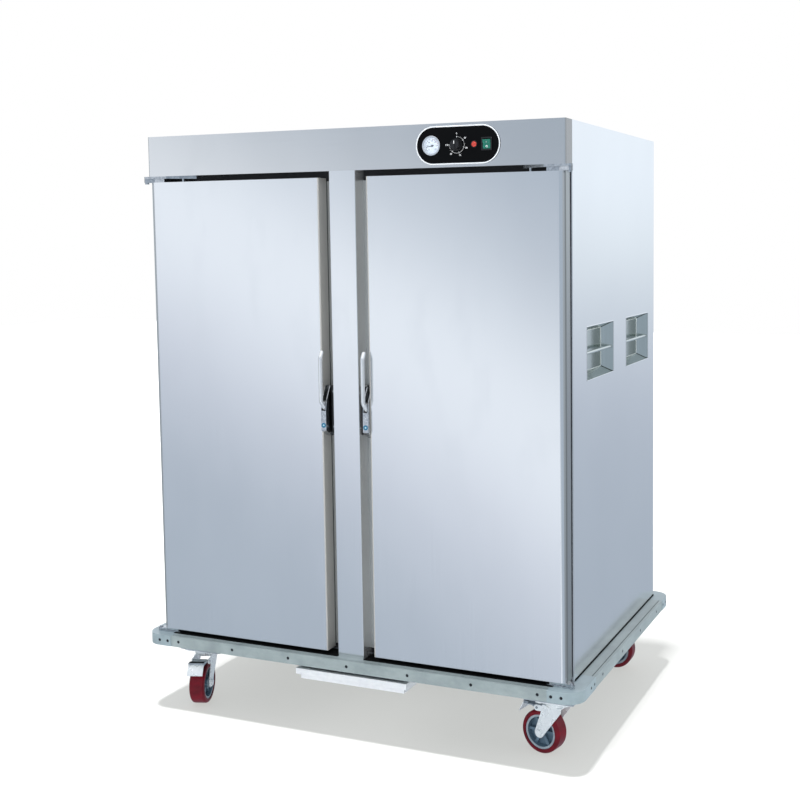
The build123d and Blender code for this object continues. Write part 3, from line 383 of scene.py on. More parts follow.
def moulded(name: str, light: str, dark: str, gloss: float, **more: float) -> Moulding:
    """A moulding whose two tones are screen colours."""
    return Moulding(name, colour(light), colour(dark), gloss, **more)


@dataclass(frozen=True)
class FoldedSkin(BrushedSteel):
    """A satin pan whose folded sides, and a door's free edge, get a painted shade, a darker colour,
    and a higher roughness than its polished face.
    """

    # side: the folded sides' colour, darker than the face: painted shade.
    side: Colour = (0.42, 0.435, 0.43)
    side_from: float = 0.6725
    side_blur: float = 1.5 * MM
    side_dulling: float = 0.12
    side_haze: float = 0.0
    haze_dulling: float = 0.15
    # inside: the colour of a door's free edge by the middle post, darker than the face: painted
    # shade of the gap.
    inside: Colour = (0.50, 0.49, 0.465)
    inside_to: float = 0.0
    inside_dulling: float = 0.22
    inside_haze: float = 0.7

    def paint(self, graph: Graph) -> Channel:
        """Brushes the face as any panel; beyond its two edges it paints shade with a darker colour
        and raises the roughness.

        Args:
            graph: The node tree.

        Returns:
            The surface.
        """
        lines, face, gloss = self.sheet(graph)
        across = graph.axis("X")
        reach = across * across
        fold = reach.between(self.side_from**2, (self.side_from + self.side_blur) ** 2)
        # Painted shade: the folded sides take the darker side colour.
        face = graph.blend(fold, face, self.side)
        gloss = gloss + fold * (self.side_dulling + self.side_haze * self.haze_dulling)
        metal = 1 - fold * self.side_haze
        if self.inside_to:
            inner = self.inside_to**2
            free_edge = 1 - reach.between(inner, inner * 1.04)
            # Painted shade: the door's free edge takes the darker inside colour.
            face = graph.blend(free_edge, face, self.inside)
            gloss = gloss + free_edge * self.inside_dulling
            metal = metal - free_edge * self.inside_haze
        return self.brushed(graph, lines, face, metal, gloss)


@dataclass(frozen=True)
class FrameFace(BrushedSteel):
    """The recessed steel face behind the doors, its tone darker than the panels' as painted shade of
    the recess, with near-black strips of painted shade on it.
    """

    # light and dark: steel tones set darker than the panels': painted shade of the recess.
    light: Colour = (0.64, 0.66, 0.655)
    dark: Colour = (0.54, 0.56, 0.555)
    gloss: float = 0.30
    sheen: float = 0.5
    # The near-black colour of the painted shade strips in the gaps round the doors.
    strip: Colour = (0.012, 0.012, 0.014)
    strip_dulling: float = 0.3
    strip_low: float = 0.266
    strip_high: float = 1.652
    strip_inside: float = 0.0475
    strip_blur: float = 1.0 * MM

    def paint(self, graph: Graph) -> Channel:
        """Paints shade strips along the top, the bottom and one side of the middle post.

        Args:
            graph: The node tree.

        Returns:
            The surface.
        """
        lines, clouds = self.marks(graph)
        across, height = graph.axis("X"), graph.axis("Z")
        upper = height.between(self.strip_high, self.strip_high + self.strip_blur)
        lower = 1 - height.between(self.strip_low - self.strip_blur, self.strip_low)
        reach = self.strip_inside**2
        centre = 1 - (across * across).between(reach, reach * 1.03)
        left = 1 - across.between(0, self.strip_blur)
        # rubber: the mask of the painted shade strips in the gaps round the doors.
        rubber = (upper + lower + centre * left).between(0.0, 1.0)
        steel = graph.blend(clouds.between(0.3, 0.7), self.dark, self.light)
        face = graph.blend(rubber, steel, self.strip)
        gloss = (lines - 0.5) * self.line_share + rubber * self.strip_dulling + self.gloss
        return self.brushed(graph, lines, face, (1 - rubber) * self.sheen, gloss)


@dataclass(frozen=True)
class MineralWool(Finish):
    """Matted insulation fibres, lighter where the board is fluffed."""

    light: Colour = (0.72, 0.66, 0.42)
    dark: Colour = (0.45, 0.38, 0.18)
    gloss: float = 0.95
    fibre_depth: float = 1.2 * MM

    def paint(self, graph: Graph) -> Channel:
        """Lays short fibres over broad tufts.

        Args:
            graph: The node tree.

        Returns:
            The surface.
        """
        fibres = graph.noise((420.0, 130.0, 420.0), 5.0, 0.7)
        tufts = graph.noise((26.0, 26.0, 26.0), 3.0, 0.6)
        shade = (fibres * 0.6 + tufts * 0.4).between(0.35, 0.65)
        return graph.surface(
            Base_Color=graph.blend(shade, self.dark, self.light),
            Roughness=self.gloss,
            Normal=graph.relief(fibres, self.fibre_depth, 0.8),
        )


@dataclass(frozen=True)
class ClearGlass(Finish):
    """A thin clear pane that shows mostly its reflections."""

    tint: Colour = (0.96, 0.98, 1.0)
    index: float = 1.45

    def paint(self, graph: Graph) -> Channel:
        """Mixes a clear view with a gloss that grows at a slant.

        Args:
            graph: The node tree.

        Returns:
            The mixed surface.
        """
        smears = graph.noise((60.0, 60.0, 60.0), 2.0, 0.5) * 0.04 + 0.02
        clear = graph.node("ShaderNodeBsdfTransparent", None, {"Color": self.tint})
        gloss = graph.surface(Base_Color=self.tint, Roughness=smears)
        slant = graph.node("ShaderNodeFresnel", None, {"IOR": self.index})
        return graph.node("ShaderNodeMixShader", None, {0: slant, 1: clear, 2: gloss})


@dataclass(frozen=True)
class StudioFloor(Finish):
    """A pale seamless floor, lit from below, that fades to white away from the cabinet."""

    light: Colour = (0.19, 0.19, 0.188)
    dark: Colour = (0.18, 0.18, 0.178)
    gloss: float = 0.9
    glow: Colour = (0.495, 0.50, 0.482)
    fade_from: float = 1.3
    fade_to: float = 2.6

    def paint(self, graph: Graph) -> Channel:
        """A matte tone over a soft light that grows with the distance from the middle.

        Args:
            graph: The node tree.

        Returns:
            The surface.
        """
        mottle = graph.noise((3.0, 3.0, 3.0), 2.0, 0.5).between(0.3, 0.7)
        place = graph.node("ShaderNodeTexCoord", output="Object")
        reach = graph.node("ShaderNodeVectorMath", {"operation": "LENGTH"}, {0: place}, 1)
        fade = reach.between(self.fade_from, self.fade_to)
        return graph.surface(
            Base_Color=graph.blend(mottle, self.dark, self.light),
            Roughness=self.gloss,
            Emission_Color=graph.blend(fade, self.glow, WHITE),
            Emission_Strength=1.0,
        )


PANEL = BrushedSteel("satin panels")
DEEP_PANEL = BrushedSteel("satin panels brushed deep", grain=Grain.ALONG_Y)
INNER_STEEL = BrushedSteel(
    "inner liner steel", (0.82, 0.83, 0.85), (0.72, 0.73, 0.76), gloss=0.32
)
# These skins' side and inside colours are painted shade.
DOOR_SKIN = FoldedSkin("satin door skin", side_from=0.6728, inside_to=0.0815)
MULLION_SKIN = FoldedSkin(
    "satin mullion", side=(0.50, 0.49, 0.465), side_from=0.0425, side_haze=0.7
)
# The header's face tones, darker than the doors', and its near-dark end colour are painted shade.
HEADER_SKIN = FoldedSkin(
    "satin header", (0.84, 0.835, 0.83), (0.775, 0.77, 0.765), Grain.ALONG_X,
    side=(0.26, 0.25, 0.24), side_from=0.6788,
)
# Its tones, darker than the panels', are painted shade of the recessed pockets.
POCKET_STEEL = BrushedSteel(
    "pressed pocket steel", (0.78, 0.82, 0.80), (0.48, 0.53, 0.51), gloss=0.18
)
# Its tone and its strips are painted shade of the recess and the gaps.
FRAME_FACE = FrameFace("frame face painted gap shade")
ROLLED_STEEL = PlatedSteel(
    "folded tray steel", (0.95, 0.96, 0.97), (0.86, 0.87, 0.89), 0.30, 50.0, 0.3
)
HINGE_STEEL = PlatedSteel("hinge steel", (0.76, 0.78, 0.80), (0.42, 0.44, 0.47), 0.16, 140.0)
HANDLE_CHROME = PlatedSteel(
    "chromed handles", (0.97, 0.975, 0.98), (0.90, 0.91, 0.93), 0.06, 90.0, 0.78
)
POLISHED = PlatedSteel("polished steel", (0.96, 0.965, 0.97), (0.86, 0.87, 0.89), 0.07, 90.0)
ZINC = PlatedSteel("bright zinc", (0.95, 0.98, 1.0), (0.84, 0.88, 0.90), 0.24, 160.0, 0.4)
GALVANISED = PlatedSteel("galvanised steel", (0.62, 0.66, 0.68), (0.40, 0.43, 0.46), 0.38, 70.0)
DARK_SCREW = PlatedSteel("blackened screws", (0.07, 0.07, 0.08), (0.03, 0.03, 0.03), 0.35)
HEATER_SHEATH = PlatedSteel("heater sheath", (0.30, 0.27, 0.25), (0.16, 0.14, 0.13), 0.42, 60.0)
# A bright line for the pockets' creases: painted highlight.
PAINTED_CREASE_HIGHLIGHT = moulded("painted crease highlight", "E9EFEE", "CBD3D1", 0.3, coat=0.4)
BUMPER = moulded("grey bumper", "A0ACAD", "869294", 0.34, pebble=500.0, coat=0.2)
GROOVE = moulded("groove shadow line", "4A5452", "333B3A", 0.7)
CAP = moulded("grey corner cap", "A2B3B9", "8A9AA0", 0.30, pebble=500.0, coat=0.3)
TREAD = moulded("red wheel tread", "800A20", "500413", 0.34, pebble=300.0, mirror=0.25)
HUB = moulded("blue grey hub", "6E8799", "4F6577", 0.40)
HUB_RING = moulded("pale hub ring", "A7B3BC", "8896A2", 0.38)
SEAL = moulded("door seal rubber", "3B3D40", "26282A", 0.60)
# Near-black painted shade for the strip at the body's foot, where shade falls under the doors and
# the panels.
PAINTED_BASE_SHADE = moulded("painted base shade", "101112", "070808", 0.7, mirror=0.15)
BLACK_PANEL = moulded(
    "black control plate", "050506", "020203", 0.42, pebble=2000.0, mirror=0.12
)
BLACK_PLASTIC = moulded("black plastic", "1C1C1E", "0E0E10", 0.34)
MATTE_BLACK = moulded("matte black plastic", "242426", "131315", 0.55)
PEDAL_RUBBER = moulded("pedal tread", "2C2F31", "1B1D1F", 0.62)
WHITE_ENAMEL = moulded("white enamel", "F4F6F8", "E6EAEE", 0.30)
# The dial face and the white marks glow a little: painted glow, as neither is a lamp.
PAINTED_GLOW_DIAL = moulded("painted glow dial face", "F8FAFC", "EEF1F5", 0.4, glow=0.22)
PAINTED_GLOW_PRINT = moulded("painted glow white marks", "FFFFFF", "E9ECEE", 0.5, glow=0.25)
BLACK_PRINT = moulded("black print", "101012", "050506", 0.5)
PALE_BLUE = moulded("pale blue cap", "B4D2DE", "93B8C6", 0.35)
BLUE_PRINT = moulded("blue ring", "1A7396", "0F5878", 0.35)
RED_LENS = moulded("red lamp lens", "D9503F", "A82315", 0.12, coat=1.0, glow=0.1)
GREEN_LENS = moulded("green rocker", "17806A", "0B5445", 0.18, coat=0.5, glow=0.18)
WOOL = MineralWool("mineral wool")
GLASS = ClearGlass("dial glass")


def spaced(low: float, high: float, count: int) -> list[float]:
    """Evenly spaced places from low to high."""
    return [low + (high - low) * k / (count - 1) for k in range(count)]


def turns(count: int) -> list[Flat]:
    """The cosine and sine of evenly spaced angles of a full turn."""
    angles = [math.tau * k / count for k in range(count)]
    return [(math.cos(angle), math.sin(angle)) for angle in angles]


class Form:
    """A mesh in the making, in the row frame."""

    def __init__(self) -> None:
        """Starts an empty mesh."""
        self.mesh = bmesh.new()

    def skin(self, rings: Sequence[Sequence[Vector]], closed: bool, capped: bool) -> None:
        """Joins equal rings of points by four-sided faces.

        Args:
            rings: The rings, each a closed loop of points.
            closed: Whether the last ring joins the first.
            capped: Whether an open row gets a face at each end.
        """
        loops = [[self.mesh.verts.new(p) for p in ring] for ring in rings]
        pairs = list(zip(loops, loops[1:])) + ([(loops[-1], loops[0])] if closed else [])
        for near, far in pairs:
            count = len(near)
            for k in range(count):
                j = (k + 1) % count
                self.mesh.faces.new((near[k], near[j], far[j], far[k]))
        if capped and not closed:
            self.mesh.faces.new(list(reversed(loops[0])))
            self.mesh.faces.new(loops[-1])

    def lathe(self, profile: Sequence[Flat], place: Matrix, steps: int = 48) -> None:
        """Turns a closed profile about a place's Z axis.

        Args:
            profile: The radius and height of each point of the section.
            place: The place.
            steps: The number of sides round the turn.
        """
        rings = []
        for c, s in turns(steps):
            rings.append([place @ Vector((r * c, r * s, h)) for r, h in profile])
        self.skin(rings, True, False)

    def dome(self, radius: float, height: float, place: Matrix, steps: int = 24) -> None:
        """A low rounded head that stands on a place's Z plane.

        Args:
            radius: Its radius at the foot.
            height: Its height.
            place: The place, its origin under the middle of the head.
            steps: The number of sides round the head.
        """
        rings = []
        for rise in spaced(0.0, math.pi / 2, 6):
            r = max(radius * math.cos(rise), radius * 0.02)
            z = height * math.sin(rise)
            rings.append([place @ Vector((r * c, r * s, z)) for c, s in turns(steps)])
        self.skin(rings, False, True)

    def tube(self, path: Sequence[Point], radius: float) -> None:
        """A round bar along an open path.

        Args:
            path: The points of its middle line.
            radius: Its radius.
        """
        points = [Vector(p) for p in path]
        last = len(points) - 1
        rings = []
        normal = None
        for k, here in enumerate(points):
            along = (points[min(k + 1, last)] - points[max(k - 1, 0)]).normalized()
            if normal is None:
                normal = along.orthogonal().normalized()
            normal = (normal - along * normal.dot(along)).normalized()
            across = along.cross(normal)
            rings.append([here + (normal * c + across * s) * radius for c, s in turns(10)])
        self.skin(rings, False, True)

    def rim(self, path: Sequence[Flat], width: float, lift: float, place: Matrix) -> None:
        """A half-round lip that runs inwards from a closed flat path.

        Args:
            path: The outer line of the lip, in the place's X and Y, anticlockwise.
            width: How far it reaches inwards.
            lift: How far it stands up along the place's Z.
            place: Where the path lies.
        """
        points = [Vector(p) for p in path]
        rings = []
        for k, here in enumerate(points):
            before, after = points[k - 1], points[(k + 1) % len(points)]
            first, second = (here - before).normalized(), (after - here).normalized()
            side = Vector((-first.y, first.x))
            inward = (side + Vector((-second.y, second.x))).normalized()
            inward = inward / max(0.3, inward.dot(side))
            ring = []
            for turn in spaced(0.0, math.pi, 7):
                step = here + inward * (width / 2 * (1 - math.cos(turn)))
                ring.append(place @ Vector((step.x, step.y, lift * math.sin(turn))))
            rings.append(ring)
        self.skin(rings, True, False)

    def slab(self, outline: Sequence[Flat], thickness: float, place: Matrix) -> None:
        """A flat plate with square edges.

        Args:
            outline: Its outline, in the place's X and Y.
            thickness: How far it stands up from the place's Z plane.
            place: The place.
        """
        rings = [[place @ Vector((x, y, z)) for x, y in outline] for z in (0.0, thickness)]
        self.skin(rings, False, True)

    def bar(self, low: Point, high: Point, edge: float = 0.0) -> None:
        """A box between two corners.

        Args:
            low: The corner with the smallest coordinates.
            high: The corner with the largest.
            edge: The width of the softened edges, or 0 for square ones.
        """
        centre = (Vector(low) + Vector(high)) / 2
        size = Vector(high) - Vector(low)
        place = Matrix.Translation(centre) @ Matrix.Diagonal((*size, 1.0))
        made = bmesh.ops.create_cube(self.mesh, size=1.0, matrix=place)
        if edge:
            faces = {face for vert in made["verts"] for face in vert.link_faces}
            edges = {line for face in faces for line in face.edges}
            bmesh.ops.bevel(
                self.mesh, geom=list(edges), offset=edge, segments=2, profile=0.6,
                affect="EDGES", clamp_overlap=True,
            )

    def word(self, text: str, size: float, depth: float, place: Matrix) -> None:
        """Raised plain figures, centred on a place's origin.

        Args:
            text: The figures.
            size: Their size.
            depth: How far they stand up along the place's Z.
            place: The place.
        """
        curve = bpy.data.curves.new("word", "FONT")
        curve.body = text
        curve.size = size
        curve.extrude = depth / 2
        curve.align_x, curve.align_y = "CENTER", "CENTER"
        holder = bpy.data.objects.new("word", curve)
        flat = bpy.data.meshes.new_from_object(holder)
        flat.transform(place @ Matrix.Translation((0, 0, depth / 2)))
        self.mesh.from_mesh(flat)
        bpy.data.objects.remove(holder)
        bpy.data.meshes.remove(flat)
        bpy.data.curves.remove(curve)

    def mirrored(self) -> "Form":
        """Draws the form on the other side of the cabinet.

        Returns:
            The new form; this one stays as it is.
        """
        other = Form()
        other.mesh = self.mesh.copy()
        flip = Matrix.Scale(-1, 4, (1, 0, 0))
        bmesh.ops.transform(other.mesh, matrix=flip, verts=other.mesh.verts)
        bmesh.ops.reverse_faces(other.mesh, faces=other.mesh.faces)
        return other

    def piece(self, name: str, finish: Finish, body: str = "cabinet") -> None:
        """Ends the mesh and makes it a piece that rides on a body.

        Args:
            name: The piece's name.
            finish: Its surface.
            body: The body that carries it.
        """
        bmesh.ops.recalc_face_normals(self.mesh, faces=self.mesh.faces)
        data = bpy.data.meshes.new(name)
        self.mesh.to_mesh(data)
        self.mesh.free()
        data.polygons.foreach_set("use_smooth", [True] * len(data.polygons))
        data.set_sharp_from_angle(angle=SHARP_EDGE)
        data.materials.append(finish.material())
        made = bpy.data.objects.new(name, data)
        bpy.context.scene.collection.objects.link(made)
        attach(made, body)
        LOG.info("piece %s on %s, %d faces", name, body, len(data.polygons))

    def pair(self, name: str, finish: Finish) -> None:
        """Ends the mesh as a right piece of the cabinet, with its mirror image on the left."""
        self.mirrored().piece(name + "_left", finish)
        self.piece(name + "_right", finish)


class Facing(Enum):
    """The way a place's Z axis points, as the columns of its X, Y and Z axes."""

    FRONT = ((1, 0, 0), (0, 0, 1), (0, -1, 0))
    BACK = ((-1, 0, 0), (0, 0, 1), (0, 1, 0))
    RIGHT = ((0, 1, 0), (0, 0, 1), (1, 0, 0))
    LEFT = ((0, -1, 0), (0, 0, 1), (-1, 0, 0))
    UP = ((1, 0, 0), (0, 1, 0), (0, 0, 1))

    def at(self, x: float, y: float, z: float) -> Matrix:
        """The place at a point of the row frame that faces this way."""
        turn = Matrix(self.value).transposed().to_4x4()
        return Matrix.Translation((x, y, z)) @ turn


def stadium(width: float, height: float, steps: int = 20) -> list[Flat]:
    """The outline of a plate with two round ends, anticlockwise.

    Args:
        width: Its width over the round ends.
        height: Its height.
        steps: The number of sides of each round end.

    Returns:
        The points of the outline.
    """
    radius = height / 2
    reach = width / 2 - radius
    found = []
    for side, start in ((1, -math.pi / 2), (-1, math.pi / 2)):
        for turn in spaced(start, start + math.pi, steps + 1):
            found.append((side * reach + radius * math.cos(turn), radius * math.sin(turn)))
    return found


def rounded_rectangle(width: float, height: float, radius: float, steps: int = 6) -> list[Flat]:
    """A rectangle with round corners, anticlockwise from its lower right.

    Args:
        width: Its width.
        height: Its height.
        radius: The radius of its corners.
        steps: The number of sides of each corner.

    Returns:
        The points of the outline.
    """
    found = []
    corners = ((1, -1, -90), (1, 1, 0), (-1, 1, 90), (-1, -1, 180))
    for sx, sy, start in corners:
        cx, cy = sx * (width / 2 - radius), sy * (height / 2 - radius)
        for turn in spaced(math.radians(start), math.radians(start + 90), steps + 1):
            found.append((cx + radius * math.cos(turn), cy + radius * math.sin(turn)))
    return found


def ring_profile(inner: float, outer: float, low: float, high: float) -> list[Flat]:
    """A ring's section with softened upper corners.

    Args:
        inner: The ring's inner radius.
        outer: Its outer radius.
        low: The height of its foot.
        high: The height of its top.

    Returns:
        The radius and height of each point.
    """
    soft = min(outer - inner, high - low) * 0.3
    return [
        (inner, low), (outer, low), (outer, high - soft), (outer - soft, high),
        (inner + soft, high), (inner, high - soft),
    ]


def middle(node: str) -> Vector:
    """The centre of a CAD node's box."""
    low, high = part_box(node)
    return (low + high) / 2


@dataclass
class CadFinishes:
    """Gives every CAD node its finish, by what the names of like nodes share."""

    nodes: dict[str, bpy.types.Object]
    worn_by: tuple[tuple[Finish, str], ...] = (
        (PANEL, "side_panel back_panel"),
        (DEEP_PANEL, "top_panel"),
        (HEADER_SKIN, "header"),
        (MULLION_SKIN, "center_mullion"),
        (DOOR_SKIN, "door_skin"),
        (FRAME_FACE, "front_frame"),
        (POCKET_STEEL, "push_pockets"),
        (INNER_STEEL, "liners rack_posts rack_ledges water_pans door_liner"),
        (WOOL, "insulation door_core"),
        (SEAL, "door_gasket"),
        (HEATER_SHEATH, "heating_elements"),
        (GALVANISED, "chassis tray_runners brake_pedal"),
        (ROLLED_STEEL, "drip_tray"),
        (BUMPER, "bumper_rails"),
        (CAP, "bumper_corners"),
        (DARK_SCREW, "bumper_screws"),
        (ZINC, "caster_plates caster_bolts fork"),
        (HUB, "wheel_hub"),
        (TREAD, "tyre"),
        (HINGE_STEEL, "hinge_plates door_fittings"),
        (HANDLE_CHROME, "handle"),
        (MATTE_BLACK, "latch_keepers thermostat power_inlet"),
        (BLACK_PANEL, "control_plate"),
        (POLISHED, "thermometer_case"),
        (GLASS, "thermometer_lens"),
        (BLACK_PRINT, "thermometer_needle"),
        (BLACK_PLASTIC, "thermostat_knob switch_housing"),
        (RED_LENS, "indicator_lamp"),
        (GREEN_LENS, "switch_rocker"),
    )

    def apply(self) -> None:
        """Takes the ending off each node's name and puts the finish on the node."""
        finishes = {stem: finish for finish, stems in self.worn_by for stem in stems.split()}
        for name, node in self.nodes.items():
            stem = name
            for ending in ("_left", "_right", "_front", "_rear"):
                stem = stem.removesuffix(ending)
            finish = finishes[stem]
            node.data.materials.clear()
            node.data.materials.append(finish.material())
            LOG.info("node %s in %s", name, finish.name)


@dataclass
class ControlPanel:
    """The printed and pressed details of the black plate on the header."""

    rim_width: float = 3.4 * MM
    rim_lift: float = 1.3 * MM
    print_depth: float = 0.15 * MM
    sweep: float = 270.0
    dial_start: float = 225.0
    dial_top_value: int = 120
    dial_step: int = 20
    dial_ticks: int = 60
    dial_figures: Flat = (13.6 * MM, 4.6 * MM)
    dial_face: Flat = (1.7 * MM, 22.3 * MM)
    dial_bezel: Flat = (23.4 * MM, 27.2 * MM)
    tick_outer: float = 20.6 * MM
    fine_tick: Flat = (1.8 * MM, 0.22 * MM)
    bold_tick: Flat = (3.2 * MM, 0.5 * MM)
    warm_band: Flat = (16.4 * MM, 17.2 * MM)
    knob_start: float = 90.0
    knob_values: tuple[int, ...] = (0, 30, 50, 70, 90, 110)
    knob_figures: Flat = (30.5 * MM, 6.4 * MM)
    knob_scale: Flat = (20.0 * MM, 24.0 * MM)
    knob_ticks: int = 30
    knob_radius: float = 13.0 * MM
    flutes: int = 22
    flute_radius: float = 0.9 * MM
    lamp_collar: Flat = (7.7 * MM, 9.9 * MM)
    lens_rings: Flat = (1.6 * MM, 3.2 * MM)
    ring_half: float = 0.3 * MM
    rocker_tilt: float = 10.0
    rocker_pivot: float = 2.0 * MM
    rocker_face: Flat = (-4.1 * MM, 6.3 * MM)
    rocker_rise: float = math.atan2(2.6, 12.6)
    line_half: Flat = (0.5 * MM, 2.8 * MM)
    circle: Flat = (2.0 * MM, 2.9 * MM)
    mark_depth: float = 0.2 * MM

    def build(self) -> None:
        """Makes the rim, the dial's face, the scales and the small rings."""
        self._rim()
        self._dial()
        self._knob()
        self._lamp()
        self._switch()

    @staticmethod
    def _on_plate(node: str) -> Matrix:
        """The place on the plate's front over the middle of a node."""
        centre = middle(node)
        return Facing.FRONT.at(centre.x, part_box("control_plate")[0].y, centre.z)

    def _ticks(
        self, form: Form, place: Matrix, angles: Iterable[float], reach: Flat, width: float
    ) -> None:
        """Prints strokes that point at a place's origin.

        Args:
            form: The mesh that they join.
            place: The place.
            angles: The angle of each stroke, in degrees.
            reach: Their inner and outer radius.
            width: Their width.
        """
        near, far = reach
        half = width / 2
        for angle in angles:
            turned = place @ Matrix.Rotation(math.radians(angle), 4, "Z")
            corners = [(near, -half), (far, -half), (far, half), (near, half)]
            form.slab(corners, self.print_depth, turned)

    def _figure(self, form: Form, place: Matrix, value: int, angle: float, spot: Flat) -> None:
        """Prints one number.

        Args:
            form: The mesh that it joins.
            place: The middle of its scale.
            value: The number.
            angle: Its angle, in degrees.
            spot: Its distance from the middle, and its size.
        """
        turn = math.radians(angle)
        away = Vector((math.cos(turn), math.sin(turn), 0)) * spot[0]
        form.word(str(value), spot[1], self.print_depth, place @ Matrix.Translation(away))

    def _rim(self) -> None:
        """The white lip round the plate."""
        low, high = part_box("control_plate")
        outline = stadium(high.x - low.x, high.z - low.z)
        form = Form()
        form.rim(outline, self.rim_width, self.rim_lift, self._on_plate("control_plate"))
        form.piece("control_plate_rim", WHITE_ENAMEL)

    def _dial(self) -> None:
        """The white face, its scale and figures, and the polished bezel."""
        centre = middle("thermometer_case")
        face_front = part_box("thermometer_needle")[1].y + 0.5 * MM
        place = Facing.FRONT.at(centre.x, face_front, centre.z)
        face = Form()
        face.lathe(ring_profile(*self.dial_face, -0.45 * MM, 0.0), place)
        face.piece("dial_face", PAINTED_GLOW_DIAL)
        marks = Form()
        step = self.sweep / self.dial_ticks
        fine = [self.dial_start - step * k for k in range(self.dial_ticks + 1)]
        bold = fine[:: self.dial_ticks * self.dial_step // self.dial_top_value // 2]
        for angles, (length, width) in ((fine, self.fine_tick), (bold, self.bold_tick)):
            reach = (self.tick_outer - length, self.tick_outer)
            self._ticks(marks, place, angles, reach, width)
        for value in range(0, self.dial_top_value + 1, self.dial_step):
            angle = self.dial_start - self.sweep * value / self.dial_top_value
            self._figure(marks, place, value, angle, self.dial_figures)
        marks.piece("dial_scale", BLACK_PRINT)
        band = Form()
        arc = [self.dial_start - self.sweep * (0.5 + 0.3 * k / 24) for k in range(25)]
        self._ticks(band, place, arc, self.warm_band, 1.1 * MM)
        # The warm band wears the lamp lens material, so this print carries a weak painted glow.
        band.piece("dial_warm_band", RED_LENS)
        bezel = Form()
        front = Facing.FRONT.at(centre.x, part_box("thermometer_case")[0].y, centre.z)
        bezel.lathe(ring_profile(*self.dial_bezel, -0.6 * MM, 1.0 * MM), front, 72)
        bezel.piece("dial_bezel", POLISHED)

    def _knob(self) -> None:
        """The scale round the knob, and the knob's flutes and pointer line."""
        place = self._on_plate("thermostat_knob")
        scale = Form()
        step = self.sweep / self.knob_ticks
        fine = [self.knob_start - step * k for k in range(self.knob_ticks + 1)]
        inner, outer = self.knob_scale
        self._ticks(scale, place, fine, (inner + 1.4 * MM, outer), 0.5 * MM)
        gaps = len(self.knob_values) - 1
        for k, value in enumerate(self.knob_values):
            angle = self.knob_start - self.sweep * k / gaps
            self._ticks(scale, place, [angle], self.knob_scale, 1.2 * MM)
            self._figure(scale, place, value, angle, self.knob_figures)
        scale.piece("knob_scale", PAINTED_GLOW_PRINT)
        low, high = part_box("thermostat_knob")
        centre = (low + high) / 2
        front, foot = low.y + 2.4 * MM, high.y - 4.6 * MM
        flutes = Form()
        for k in range(self.flutes):
            turn = math.tau * (k + 0.5) / self.flutes
            x = centre.x + self.knob_radius * math.cos(turn)
            z = centre.z + self.knob_radius * math.sin(turn)
            flutes.tube([(x, front, z), (x, foot, z)], self.flute_radius)
        flutes.piece("knob_flutes", BLACK_PLASTIC, "thermostat_knob")
        pointer = Form()
        pointer.bar(
            (centre.x - 0.7 * MM, low.y - 0.15 * MM, centre.z + 1.5 * MM),
            (centre.x + 0.7 * MM, low.y + 0.2 * MM, centre.z + 10.2 * MM),
            0.1 * MM,
        )
        pointer.piece("knob_pointer", PAINTED_GLOW_PRINT, "thermostat_knob")

    def _lamp(self) -> None:
        """The dark collar of the lamp and the ribs of its lens."""
        place = self._on_plate("indicator_lamp")
        collar = Form()
        collar.lathe(ring_profile(*self.lamp_collar, 0.0, 1.8 * MM), place, 40)
        collar.piece("lamp_collar", BLACK_PLASTIC)
        ribs = Form()
        lift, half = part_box("control_plate")[0].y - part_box("indicator_lamp")[0].y, self.ring_half
        for radius in self.lens_rings:
            section = ring_profile(radius - half, radius + half, lift - half, lift + half)
            ribs.lathe(section, place, 32)
        ribs.piece("lamp_lens_ribs", RED_LENS)

    def _switch(self) -> None:
        """The white line and circle on the rocker's two halves."""
        centre = middle("switch_housing")
        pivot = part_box("control_plate")[0].y + self.rocker_pivot
        tilt = math.radians(self.rocker_tilt)
        marks = Form()
        for half in (1, -1):
            y_flat, z_flat = self.rocker_face[0], self.rocker_face[1] * half
            y = pivot + y_flat * math.cos(tilt) - z_flat * math.sin(tilt)
            z = centre.z + y_flat * math.sin(tilt) + z_flat * math.cos(tilt)
            lean = Matrix.Rotation(-(tilt + self.rocker_rise * half), 4, "X")
            place = Facing.FRONT.at(centre.x, y, z) @ lean
            if half > 0:
                wide, tall = self.line_half
                line = [(-wide, -tall), (wide, -tall), (wide, tall), (-wide, tall)]
                marks.slab(line, self.mark_depth, place)
            else:
                marks.lathe(ring_profile(*self.circle, 0.0, self.mark_depth), place, 32)
        marks.piece("rocker_marks", PAINTED_GLOW_PRINT, "switch_rocker")


